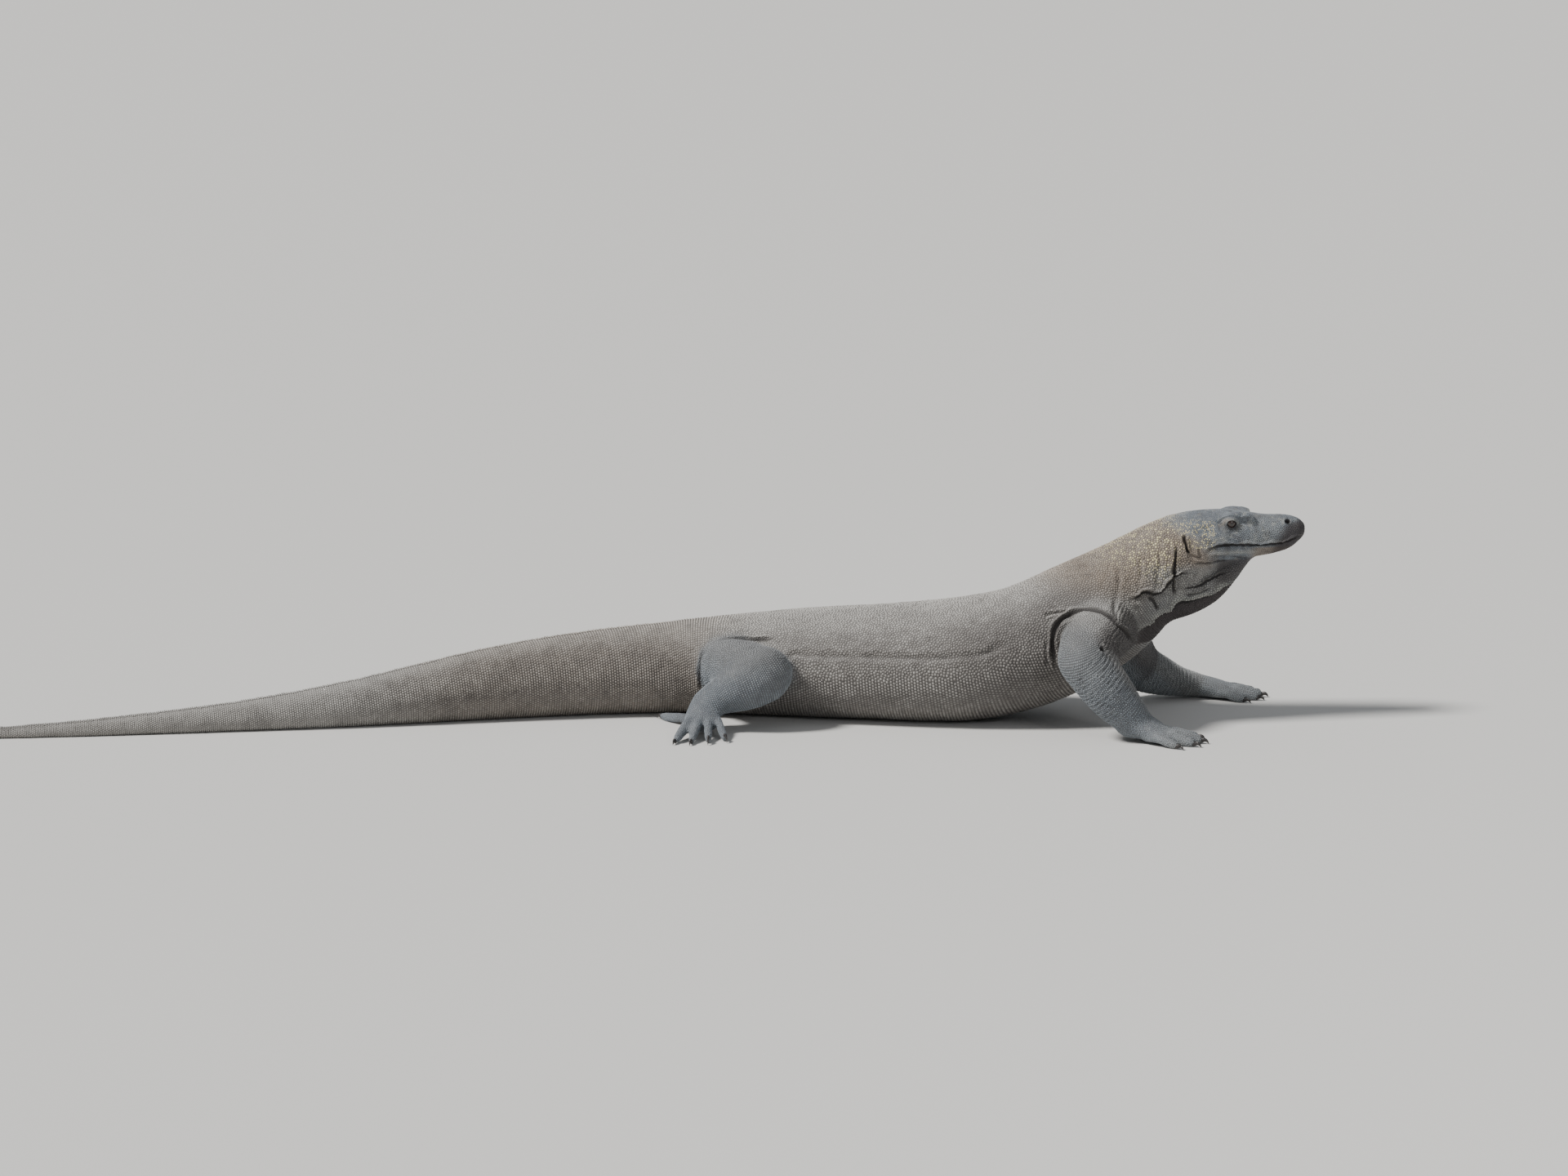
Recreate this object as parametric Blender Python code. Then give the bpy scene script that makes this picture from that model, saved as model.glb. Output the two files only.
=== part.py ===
"""A life-size komodo dragon at rest: belly and tail on the floor, chest raised on the forelegs, head up.

Metres, +Z up, and the animal faces +X. The origin is on the floor, under the middle of the trunk. The body
is one long tube of cross-sections, parted into lengths. The legs, throat pouch, digits and claws are tubes
of their own, and each is cut back by the pieces that it grows from, so that they meet face to face.
"""

import math

import bmesh
import bpy
import numpy as np
from mathutils import Matrix, Vector

# ---- Driving dimensions, in metres and degrees ----

UP = Vector((0, 0, 1))
GAP = 0.0003  # clear space between neighbouring pieces
PROUD = 0.0004  # how far a cutter's skin stands outside the piece that it is a copy of
FLOOR_SIZE = 5.0

BODY_SIDES = 24
POUCH_SIDES = 16
LIMB_SIDES = 12
DIGIT_SIDES = 6
CLAW_SIDES = 5
BODY_STEPS = 2  # rings from one cross-section in the table to the next
LIMB_STEPS = 2
LIMB_FULLNESS = 0.92  # 1 is an ellipse, and less is squarer
DOME_TURNS = (38, 72)  # degrees round a tube's domed end at which its rings stand
SHARP_ANGLE = 40  # degrees between faces past which an edge is drawn sharp

# The body from the tip of the tail to the tip of the snout: centre x, y, z, half width, height above the
# centre, height below it, and fullness, where 1 is an ellipse and less is squarer. The tail sweeps to the
# right and the head turns a little to the left. A name starts a new piece.
BODY = (
    ("tail_end", (-1.590, -0.430, 0.0028, 0.0026, 0.0028, 0.0034, 1.00)),
    ("", (-1.400, -0.386, 0.0070, 0.0060, 0.0074, 0.0076, 1.00)),
    ("", (-1.200, -0.332, 0.0125, 0.0105, 0.0135, 0.0134, 1.00)),
    ("tail_middle", (-1.000, -0.268, 0.0215, 0.0175, 0.0230, 0.0226, 1.00)),
    ("", (-0.820, -0.205, 0.0350, 0.0270, 0.0370, 0.0363, 1.00)),
    ("tail_base", (-0.640, -0.128, 0.0530, 0.0410, 0.0560, 0.0545, 0.98)),
    ("", (-0.500, -0.066, 0.0620, 0.0570, 0.0655, 0.0640, 0.96)),
    ("", (-0.380, -0.024, 0.0670, 0.0720, 0.0710, 0.0695, 0.94)),
    ("trunk", (-0.280, -0.004, 0.0730, 0.0920, 0.0750, 0.0765, 0.92)),
    ("", (-0.150, 0.000, 0.0800, 0.1140, 0.0820, 0.0840, 0.90)),
    ("", (-0.020, 0.000, 0.0860, 0.1240, 0.0860, 0.0900, 0.90)),
    ("", (0.100, 0.000, 0.0930, 0.1270, 0.0925, 0.0970, 0.90)),
    ("", (0.200, 0.000, 0.1130, 0.1180, 0.0950, 0.0960, 0.92)),
    ("neck", (0.285, 0.000, 0.1560, 0.0980, 0.0930, 0.0960, 0.94)),
    ("", (0.350, 0.002, 0.1990, 0.0760, 0.0830, 0.0860, 0.96)),
    ("", (0.405, 0.006, 0.2390, 0.0605, 0.0720, 0.0690, 0.96)),
    ("head", (0.450, 0.012, 0.2670, 0.0540, 0.0645, 0.0520, 0.94)),
    ("", (0.490, 0.018, 0.2850, 0.0485, 0.0504, 0.0425, 0.90)),
    ("", (0.530, 0.024, 0.2940, 0.0395, 0.0388, 0.0375, 0.86)),
    ("", (0.570, 0.029, 0.2990, 0.0305, 0.0272, 0.0360, 0.86)),
    ("", (0.600, 0.033, 0.3005, 0.0260, 0.0256, 0.0295, 0.86)),
    ("", (0.6185, 0.036, 0.3010, 0.0205, 0.0190, 0.0180, 0.90)),
    ("", (0.6285, 0.0375, 0.2995, 0.0100, 0.0090, 0.0090, 1.00)),
)

# The loose pouch of the throat, from the chin back to the chest, in the same columns.
POUCH = (
    (0.560, 0.028, 0.2690, 0.0110, 0.0030, 0.0030, 1.0),
    (0.540, 0.025, 0.2600, 0.0210, 0.0070, 0.0085, 1.0),
    (0.511, 0.020, 0.2400, 0.0300, 0.0170, 0.0225, 1.0),
    (0.480, 0.016, 0.2210, 0.0360, 0.0240, 0.0350, 1.0),
    (0.440, 0.010, 0.1980, 0.0410, 0.0280, 0.0340, 1.0),
    (0.395, 0.005, 0.1760, 0.0440, 0.0280, 0.0245, 1.0),
    (0.350, 0.000, 0.1520, 0.0420, 0.0240, 0.0200, 1.0),
)

# The mouth's line, x and z, from its corner to beyond the tip of the snout.
MOUTH = (
    (0.477, 0.2730), (0.483, 0.2795), (0.492, 0.2835), (0.506, 0.2860), (0.565, 0.2865), (0.645, 0.2925),
)
JAW_FLOOR = 0.15  # a height below the whole jaw
JAW_SIDES = (-0.1, 0.15)  # y on either side of the whole jaw

HEAD_TURN = math.radians(8)  # the head's own heading, to the left of +X
EYE_CENTRE = Vector((0.512, 0.0212, 0.3175))  # midway between the eyeballs
EYE_OUT = 0.0280
EYE_RADIUS = 0.0105
BROW_SIZE = (0.0260, 0.0100, 0.0062)
BROW_RAISE = 0.0106  # its height over the eye's centre, and how far it lies before it
BROW_AHEAD = 0.0130
NOSTRIL_CENTRE = Vector((0.602, 0.0335, 0.3185))
NOSTRIL_OUT = 0.0215
NOSTRIL_SIZE = (0.0042, 0.0040, 0.0028)
EAR_CENTRE = Vector((0.4465, 0.0115, 0.2900))
EAR_OUT = 0.0530
EAR_SIZE = (0.0035, 0.0060, 0.0140)

# Each limb is x, y, z, half width and half height at points from the body to the wrist or ankle, and the
# heading of the hand or foot in degrees from +X.
FORELEGS = {
    "right": {
        "upper": ((0.330, -0.050, 0.158, 0.050, 0.050), (0.317, -0.106, 0.149, 0.049, 0.047),
                  (0.304, -0.150, 0.128, 0.043, 0.043)),
        "lower": ((0.305, -0.156, 0.124, 0.042, 0.042), (0.331, -0.158, 0.091, 0.040, 0.040),
                  (0.355, -0.153, 0.060, 0.036, 0.036), (0.377, -0.147, 0.037, 0.031, 0.028)),
        "heading": -4,
    },
    "left": {
        "upper": ((0.334, 0.048, 0.144, 0.050, 0.050), (0.347, 0.106, 0.099, 0.047, 0.047),
                  (0.365, 0.146, 0.062, 0.041, 0.041)),
        "lower": ((0.367, 0.150, 0.058, 0.040, 0.040), (0.400, 0.167, 0.041, 0.036, 0.034),
                  (0.432, 0.184, 0.028, 0.031, 0.025), (0.461, 0.197, 0.021, 0.028, 0.0195)),
        "heading": 6,
    },
}
HINDLEGS = {
    "right": {
        "upper": ((-0.255, -0.045, 0.080, 0.057, 0.056), (-0.240, -0.096, 0.084, 0.054, 0.049),
                  (-0.205, -0.138, 0.088, 0.046, 0.045)),
        "lower": ((-0.187, -0.142, 0.087, 0.042, 0.044), (-0.212, -0.157, 0.075, 0.038, 0.042),
                  (-0.246, -0.162, 0.058, 0.030, 0.032), (-0.276, -0.160, 0.044, 0.023, 0.022)),
        "heading": -94,
    },
    "left": {
        "upper": ((-0.250, 0.045, 0.080, 0.057, 0.056), (-0.232, 0.096, 0.084, 0.054, 0.049),
                  (-0.196, 0.138, 0.088, 0.046, 0.045)),
        "lower": ((-0.178, 0.142, 0.087, 0.042, 0.044), (-0.203, 0.158, 0.075, 0.038, 0.042),
                  (-0.238, 0.166, 0.058, 0.030, 0.032), (-0.269, 0.168, 0.044, 0.023, 0.022)),
        "heading": 88,
    },
}

# The palm and the sole: distance from the wrist or ankle, half width, half height and height of centre.
PALM = {
    "right": ((-0.004, 0.028, 0.025, 0.030), (0.022, 0.031, 0.019, 0.022), (0.046, 0.034, 0.013, 0.0122)),
    "left": ((-0.004, 0.027, 0.019, 0.021), (0.022, 0.031, 0.016, 0.017), (0.046, 0.034, 0.013, 0.0122)),
}
SOLE = ((0.000, 0.022, 0.022, 0.043), (0.017, 0.026, 0.020, 0.033), (0.033, 0.029, 0.017, 0.020))

# Each digit: where it leaves the palm, forward and outward of the wrist, its heading outward of the
# palm's in degrees, its length and its radius, from the innermost digit to the outermost.
FINGERS = (
    (0.036, -0.026, -26, 0.038, 0.0088),
    (0.044, -0.014, -12, 0.049, 0.0092),
    (0.047, 0.000, 0, 0.053, 0.0094),
    (0.043, 0.014, 12, 0.050, 0.0092),
    (0.034, 0.026, 28, 0.040, 0.0088),
)
TOES = (
    (0.022, -0.020, -26, 0.057, 0.0074),
    (0.027, -0.010, -12, 0.067, 0.0076),
    (0.028, 0.002, -2, 0.075, 0.0080),
    (0.024, 0.013, 7, 0.080, 0.0088),
    (-0.006, 0.020, 129, 0.080, 0.0084),
)

# How a digit arches over its knuckle: share of its length, height above rest, and shares of its radius
# across and up. Fingers and the toe that points back lie low, and the other toes come down from the instep.
LOW_ARCH = (
    (-0.35, 0.0020, 0.85, 0.85),
    (0.00, 0.0040, 1.00, 1.00),
    (0.40, 0.0045, 0.95, 1.00),
    (0.75, 0.0000, 0.92, 1.00),
    (1.00, -0.0014, 0.72, 0.84),
)
HIGH_ARCH = (
    (-0.20, 0.0170, 0.85, 0.85),
    (0.05, 0.0190, 1.00, 1.00),
    (0.38, 0.0150, 0.90, 0.95),
    (0.72, 0.0050, 0.92, 1.00),
    (1.00, -0.0014, 0.72, 0.84),
)
CLAW_LENGTH = 0.022
CLAW_RADIUS = 0.0046
CLAW_DROOP = 62  # degrees that a claw turns down over its length
CLAW_STATIONS = (-0.30, 0.0, 0.35, 0.7, 1.0)  # shares of its length, where the first is inside the digit
CLAW_RAISE = 0.34  # the height of its root, as a share of its length
CLAW_FLATNESS = 0.8  # its width over its depth
CLAW_TIP = 0.12  # the thickness of its point, as a share of its root's
CLAW_TAPER = 1.3  # how late a claw thins: 1 is a cone
SUNK = 0.0008  # how far a resting digit is pressed into the floor, which flattens its underside

COLOURS = {
    "trunk_skin": ((0.130, 0.118, 0.102), 0.72),
    "neck_skin": ((0.185, 0.162, 0.112), 0.70),
    "leg_skin": ((0.105, 0.112, 0.115), 0.68),
    "claw": ((0.030, 0.027, 0.026), 0.35),
    "eye": ((0.045, 0.022, 0.012), 0.08),
}


# ---- Making shapes ----


def material(name):
    found = bpy.data.materials.get(name)
    if found is None:
        colour, roughness = COLOURS[name]
        found = bpy.data.materials.new(name)
        found.use_nodes = True
        shader = found.node_tree.nodes["Principled BSDF"]
        shader.inputs["Base Color"].default_value = (*colour, 1)
        shader.inputs["Roughness"].default_value = roughness
        shader.inputs["Metallic"].default_value = 0.0
    return found


def object_of(name, bm, finish):
    """A scene object from a bmesh, with its faces turned outwards."""
    bmesh.ops.recalc_face_normals(bm, faces=bm.faces)
    mesh = bpy.data.meshes.new(name)
    bm.to_mesh(mesh)
    bm.free()
    mesh.materials.append(material(finish))
    made = bpy.data.objects.new(name, mesh)
    bpy.context.scene.collection.objects.link(made)
    return made


def eased(rows, steps):
    """The rows with more between them, on a Catmull-Rom curve through all of their columns at once."""
    rows = [np.array(row, float) for row in rows]
    ends = [2 * rows[0] - rows[1], *rows, 2 * rows[-1] - rows[-2]]
    found = []
    for a, b, c, d in zip(ends, ends[1:], ends[2:], ends[3:]):
        bend, twist = 2 * a - 5 * b + 4 * c - d, 3 * b - a - 3 * c + d
        for t in np.arange(steps) / steps:
            found.append(0.5 * (2 * b + (c - a) * t + bend * t**2 + twist * t**3))
    return [*found, rows[-1]]


def headings(rows):
    """The direction of travel at each row's centre."""
    centres = [Vector(row[:3]) for row in rows]
    last = len(rows) - 1
    return [(centres[min(i + 1, last)] - centres[max(i - 1, 0)]).normalized() for i in range(last + 1)]


def section(centre, along, half_width, above, below, fullness, sides):
    """One cross-section, square to the way along: an ellipse that is squarer where fullness is less."""
    aside = UP.cross(along).normalized()
    rise = along.cross(aside)
    points = []
    for i in range(sides):
        c, s = math.cos(2 * math.pi * i / sides), math.sin(2 * math.pi * i / sides)
        out = half_width * math.copysign(abs(c) ** fullness, c)
        high = (above if s > 0 else below) * math.copysign(abs(s) ** fullness, s)
        points.append(centre + aside * out + rise * high)
    return points


def skinned(name, rings, finish):
    """A closed tube through rings of points, with a flat face at each end."""
    bm = bmesh.new()
    loops = [[bm.verts.new(point) for point in ring] for ring in rings]
    for near, far in zip(loops, loops[1:]):
        for i in range(len(near)):
            j = (i + 1) % len(near)
            bm.faces.new((near[i], near[j], far[j], far[i]))
    bm.faces.new(loops[0][::-1])
    bm.faces.new(loops[-1])
    return object_of(name, bm, finish)


def limb_tube(name, points, finish, sides=LIMB_SIDES, steps=LIMB_STEPS, domes=(True, True)):
    """A tube through (x, y, z, half width, half height) points, domed at the ends that ask for it."""
    rows = eased(points, steps)
    ways = headings(rows)
    rings = [
        section(Vector(row[:3]), way, row[3], row[4], row[4], LIMB_FULLNESS, sides)
        for row, way in zip(rows, ways)
    ]
    for at_start, wanted in zip((True, False), domes):
        if not wanted:
            continue
        row, way = (rows[0], ways[0]) if at_start else (rows[-1], ways[-1])
        outward = -way if at_start else way
        for turn in DOME_TURNS:
            shrink = math.cos(math.radians(turn))
            centre = Vector(row[:3]) + outward * row[4] * math.sin(math.radians(turn))
            wide, high = row[3] * shrink, row[4] * shrink
            ring = section(centre, way, wide, high, high, LIMB_FULLNESS, sides)
            if at_start:
                rings.insert(0, ring)
            else:
                rings.append(ring)
    return skinned(name, rings, finish)


def ball(name, centre, size, finish, turn=0.0, segments=12, rings=8):
    """An ellipsoid with half sizes (x, y, z), turned about the upright axis."""
    bm = bmesh.new()
    bmesh.ops.create_uvsphere(bm, u_segments=segments, v_segments=rings, radius=1)
    place = Matrix.Translation(centre) @ Matrix.Rotation(turn, 4, "Z") @ Matrix.Diagonal((*size, 1))
    bmesh.ops.transform(bm, matrix=place, verts=bm.verts)
    return object_of(name, bm, finish)


def block(name, low, high, finish="trunk_skin"):
    bm = bmesh.new()
    bmesh.ops.create_cube(bm, size=1)
    low, high = Vector(low), Vector(high)
    place = Matrix.Translation((low + high) / 2) @ Matrix.Diagonal((*(high - low), 1))
    bmesh.ops.transform(bm, matrix=place, verts=bm.verts)
    return object_of(name, bm, finish)


def swollen(piece):
    """A cutter: a copy of the piece whose skin stands PROUD of it."""
    bm = bmesh.new()
    bm.from_mesh(piece.data)
    bm.normal_update()
    moves = [(v, v.normal * PROUD * v.calc_shell_factor()) for v in bm.verts]
    for v, move in moves:
        v.co += move
    return object_of("cutter", bm, piece.data.materials[0].name)


def combine(piece, other, operation):
    """Works an exact Boolean into the piece's own mesh."""
    modifier = piece.modifiers.new(operation, "BOOLEAN")
    modifier.operation = operation
    modifier.solver = "EXACT"
    modifier.object = other
    graph = bpy.context.evaluated_depsgraph_get()
    mesh = bpy.data.meshes.new_from_object(piece.evaluated_get(graph))
    piece.modifiers.clear()
    piece.data = mesh


def use_up(piece, other, operation):
    combine(piece, other, operation)
    bpy.data.objects.remove(other)


def cut_back(piece, *neighbours):
    """Cuts the piece where it would enter its neighbours, less a clear gap."""
    for neighbour in neighbours:
        use_up(piece, swollen(neighbour), "DIFFERENCE")


def largest_body(piece):
    """Keeps the biggest of the separate shells that a cut has left."""
    bm = bmesh.new()
    bm.from_mesh(piece.data)
    left = set(bm.verts)
    shells = []
    while left:
        shell, edge = set(), [left.pop()]
        while edge:
            v = edge.pop()
            shell.add(v)
            near = {e.other_vert(v) for e in v.link_edges} & left
            left -= near
            edge.extend(near)
        shells.append(shell)
    keep = max(shells, key=len)
    bmesh.ops.delete(bm, geom=[v for shell in shells if shell is not keep for v in shell], context="VERTS")
    bm.to_mesh(piece.data)
    bm.free()


# ---- The body: tail, trunk, neck and head as one tube, parted ----


def body_lengths():
    """The pieces of the body's tube, in order from the tail, and the whole tube, which is only a cutter."""
    rows = eased([row for _, row in BODY], BODY_STEPS)
    ways = headings(rows)
    rings = [section(Vector(row[:3]), way, *row[3:], BODY_SIDES) for row, way in zip(rows, ways)]
    starts = {name: i * BODY_STEPS for i, (name, _) in enumerate(BODY) if name}
    pieces = {}
    for (name, first), last in zip(starts.items(), [*list(starts.values())[1:], len(rows) - 1]):
        own = [list(ring) for ring in rings[first : last + 1]]
        if first > 0:
            own[0] = [point + ways[first] * GAP / 2 for point in own[0]]
        if last < len(rows) - 1:
            own[-1] = [point - ways[last] * GAP / 2 for point in own[-1]]
        finish = "neck_skin" if name in ("neck", "head") else "trunk_skin"
        pieces[name] = skinned(name, own, finish)
    return pieces, skinned("whole_body", rings, "trunk_skin")


def throat_pouch(whole):
    rows = eased(POUCH, LIMB_STEPS)
    ways = headings(rows)
    rings = [section(Vector(row[:3]), -way, *row[3:], POUCH_SIDES) for row, way in zip(rows, ways)]
    pouch = skinned("throat_pouch", rings, "neck_skin")
    cut_back(pouch, whole)
    largest_body(pouch)
    return pouch


def beside_head(centre, out, side, ahead=0.0):
    """A point on the right (-1) or left (1) of the head, that far out from centre and ahead of it."""
    return centre + Matrix.Rotation(HEAD_TURN, 3, "Z") @ Vector((ahead, side * out, 0))


def jaw_block(inset):
    """A block that holds the lower jaw: all that is below the mouth's line and before its corner."""
    outline = [(x + inset, z - inset) for x, z in MOUTH]
    outline += [(MOUTH[-1][0] + inset, JAW_FLOOR), (MOUTH[0][0] + inset, JAW_FLOOR)]
    bm = bmesh.new()
    face = bm.faces.new([bm.verts.new((x, JAW_SIDES[0], z)) for x, z in outline])
    made = bmesh.ops.extrude_face_region(bm, geom=[face])
    far = [v for v in made["geom"] if isinstance(v, bmesh.types.BMVert)]
    bmesh.ops.translate(bm, verts=far, vec=(0, JAW_SIDES[1] - JAW_SIDES[0], 0))
    return object_of("jaw_block", bm, "neck_skin")


def furnish_head(head):
    """Adds brows, cuts nostrils, ears, eye sockets and mouth, and returns the eyes and the lower jaw."""
    made = []
    for side, word in ((-1, "right"), (1, "left")):
        brow = beside_head(EYE_CENTRE + UP * BROW_RAISE, EYE_OUT, side, BROW_AHEAD)
        use_up(head, ball("brow", brow, BROW_SIZE, "neck_skin", HEAD_TURN), "UNION")
        nostril = beside_head(NOSTRIL_CENTRE, NOSTRIL_OUT, side)
        use_up(head, ball("nostril", nostril, NOSTRIL_SIZE, "neck_skin", HEAD_TURN, 8, 6), "DIFFERENCE")
        ear = beside_head(EAR_CENTRE, EAR_OUT, side)
        use_up(head, ball("ear", ear, EAR_SIZE, "neck_skin", HEAD_TURN, 8, 8), "DIFFERENCE")
        centre = beside_head(EYE_CENTRE, EYE_OUT, side)
        eye = ball(f"eye_{word}", centre, [EYE_RADIUS] * 3, "eye")
        cut_back(head, eye)
        made.append(eye)
    jaw = head.copy()
    jaw.data = head.data.copy()
    jaw.name = "lower_jaw"
    bpy.context.scene.collection.objects.link(jaw)
    use_up(jaw, jaw_block(GAP), "INTERSECT")
    use_up(head, jaw_block(0), "DIFFERENCE")
    return [*made, jaw]


# ---- Limbs, feet and claws ----


def across(wrist, heading, outward, forward, aside):
    """A point on the floor's plane, forward of the wrist and outward of it."""
    turn = math.radians(heading)
    ahead = Vector((math.cos(turn), math.sin(turn), 0))
    out = Vector((-ahead.y, ahead.x, 0)) * outward
    return Vector((wrist.x, wrist.y, 0)) + ahead * forward + out * aside


def digit_points(start, heading, length, radius, arch):
    """A digit that leaves the palm or sole, arches over its knuckle and comes down on its tip."""
    turn = math.radians(heading)
    ahead = Vector((math.cos(turn), math.sin(turn), 0))
    rest = radius - SUNK
    return [
        (*(start + ahead * length * along + UP * (rest + lift)), radius * wide, radius * high)
        for along, lift, wide, high in arch
    ]


def claw_points(tip, heading):
    """A claw that starts inside the digit's tip and hooks down to a point just off the floor."""
    turn = math.radians(heading)
    ahead = Vector((math.cos(turn), math.sin(turn), 0))
    bend = math.radians(CLAW_DROOP)
    reach = CLAW_LENGTH / bend
    points = []
    for share in CLAW_STATIONS:
        angle = max(share, 0) * bend
        along = reach * math.sin(angle) + min(share, 0) * CLAW_LENGTH
        drop = reach * (1 - math.cos(angle))
        thick = CLAW_RADIUS * max(1 - max(share, 0) ** CLAW_TAPER, CLAW_TIP)
        centre = tip + ahead * along + UP * (CLAW_LENGTH * CLAW_RAISE - drop)
        points.append((*centre, thick * CLAW_FLATNESS, thick))
    return points


def paw(name, wrist, heading, outward, profile, digits, arches):
    """The hand or foot with its digits as one piece, and each claw as its own."""
    turn = math.radians(heading)
    ahead = Vector((math.cos(turn), math.sin(turn), 0))
    at_wrist = Vector((wrist[0], wrist[1], 0))
    points = [(*(at_wrist + ahead * along + UP * high), wide, tall) for along, wide, tall, high in profile]
    hand = limb_tube(name, points, "leg_skin")
    claws = []
    for number, (forward, aside, splay, length, radius) in enumerate(digits, 1):
        start = across(at_wrist, heading, outward, forward, aside)
        way = heading + outward * splay
        line = digit_points(start, way, length, radius, arches[number - 1])
        digit = limb_tube("digit", line, "leg_skin", DIGIT_SIDES, 1, (False, True))
        use_up(hand, digit, "UNION")
        tip = across(start, way, 1, length, 0)
        line = claw_points(tip, way)
        claws.append(limb_tube(f"{name}_claw_{number}", line, "claw", CLAW_SIDES, 1, (False, False)))
    for claw in claws:
        cut_back(claw, hand)
        largest_body(claw)
    return hand, claws


def leg(kind, side, shape, profile, digits, arches, body):
    """One leg: upper and lower length, hand or foot, and claws, each cut back by what carries it."""
    outward = -1 if side == "right" else 1
    upper_name, lower_name, paw_name = kind
    upper = limb_tube(f"{upper_name}_{side}", shape["upper"], "leg_skin")
    lower = limb_tube(f"{lower_name}_{side}", shape["lower"], "leg_skin")
    wrist, heading = shape["lower"][-1], shape["heading"]
    hand, claws = paw(f"{paw_name}_{side}", wrist, heading, outward, profile, digits, arches)
    cut_back(upper, *body)
    cut_back(lower, *body, upper)
    cut_back(hand, upper, lower)
    for piece in (upper, lower, hand):
        largest_body(piece)
    return [upper, lower, hand, *claws]


# ---- The whole animal ----


def rest_on_floor(pieces):
    """Cuts off what is pressed below the floor, which leaves small flats at one level."""
    floor = block("floor", (-FLOOR_SIZE, -FLOOR_SIZE, -1), (FLOOR_SIZE, FLOOR_SIZE, 0))
    for piece in pieces:
        if min(v.co.z for v in piece.data.vertices) < 0:
            combine(piece, floor, "DIFFERENCE")
            largest_body(piece)
    bpy.data.objects.remove(floor)


def main():
    for obj in list(bpy.data.objects):
        bpy.data.objects.remove(obj)
    body, whole = body_lengths()
    pouch = throat_pouch(whole)
    pieces = [*body.values(), pouch, *furnish_head(body["head"])]
    for side in ("right", "left"):
        arm = ("upper_arm", "forearm", "hand")
        pieces += leg(arm, side, FORELEGS[side], PALM[side], FINGERS, [LOW_ARCH] * 5, [whole, pouch])
        hind = ("thigh", "shin", "foot")
        pieces += leg(hind, side, HINDLEGS[side], SOLE, TOES, [HIGH_ARCH] * 4 + [LOW_ARCH], [whole])
    bpy.data.objects.remove(whole)
    rest_on_floor(pieces)
    for piece in pieces:
        piece.data.shade_smooth()
        piece.data.set_sharp_from_angle(angle=math.radians(SHARP_ANGLE))


main()
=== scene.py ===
import math
import bmesh
import bpy
import numpy as np
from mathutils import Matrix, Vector, noise
from mathutils.bvhtree import BVHTree
from mathutils.kdtree import KDTree


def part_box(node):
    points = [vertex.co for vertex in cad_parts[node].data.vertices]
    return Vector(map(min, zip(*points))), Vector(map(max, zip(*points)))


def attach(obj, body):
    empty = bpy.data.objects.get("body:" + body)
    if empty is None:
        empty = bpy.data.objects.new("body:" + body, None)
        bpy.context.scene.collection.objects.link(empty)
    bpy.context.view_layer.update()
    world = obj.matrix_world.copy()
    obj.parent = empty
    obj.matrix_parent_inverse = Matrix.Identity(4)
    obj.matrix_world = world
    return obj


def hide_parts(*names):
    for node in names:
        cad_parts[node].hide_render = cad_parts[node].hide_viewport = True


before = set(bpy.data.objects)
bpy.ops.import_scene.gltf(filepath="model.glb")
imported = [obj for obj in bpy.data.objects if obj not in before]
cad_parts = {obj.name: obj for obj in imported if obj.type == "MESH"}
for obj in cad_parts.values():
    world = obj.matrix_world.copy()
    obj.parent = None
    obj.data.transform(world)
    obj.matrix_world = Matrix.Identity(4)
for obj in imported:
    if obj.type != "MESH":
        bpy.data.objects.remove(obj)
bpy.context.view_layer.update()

# The blank of the hide: one closed skin of cast resin over the whole body.
# The flesh pieces are copied, swelled until their hairline joints close, run together in one shell,
# and smoothed more where the body is thick than where it is thin.
FLESH = sorted(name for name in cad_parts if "claw" not in name and not name.startswith("eye"))
EYES = ("eye_right", "eye_left")
JOINT_FILL = 0.0004
SHELL_STEP = 0.0034
FACET_SOFTENING = {"body": 0.11, "limb": 0.35}
LEAST_PASSES = 2
MOST_PASSES = 110
HEAD_PASSES = 7
PAW_PASSES = 6
DEPTH_PASSES = 8
BLEND_PASSES = 12
SAME_PLACE = 1e-6
LOOK_IN = 0.0005
DEPTH_UNSEEN = 0.01


def part_of(name):
    """Which kind of flesh a piece is."""
    if name.startswith(("hand", "foot")):
        return "paw"
    if name.startswith(("upper_arm", "forearm", "thigh", "shin")):
        return "limb"
    if name in ("head", "lower_jaw") or name in EYES:
        return "head"
    return "body"


def rows_of(items, key, width, kind=float):
    """What each of a mesh's items says under a key, in rows."""
    values = np.empty(len(items) * width, kind)
    items.foreach_get(key, values)
    return values.reshape(-1, width)


def points_of(mesh):
    return rows_of(mesh.vertices, "co", 3)


def normals_of(mesh):
    return rows_of(mesh.vertices, "normal", 3)


def place_points(mesh, points):
    mesh.vertices.foreach_set("co", points.astype(np.float32).ravel())
    mesh.update()


def tree_of(mesh):
    """A mesh made ready for looking up the nearest place or the first one along a line."""
    mesh.calc_loop_triangles()
    corners = rows_of(mesh.loop_triangles, "vertices", 3, np.int32)
    return BVHTree.FromPolygons(points_of(mesh).tolist(), corners.tolist()), corners


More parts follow.
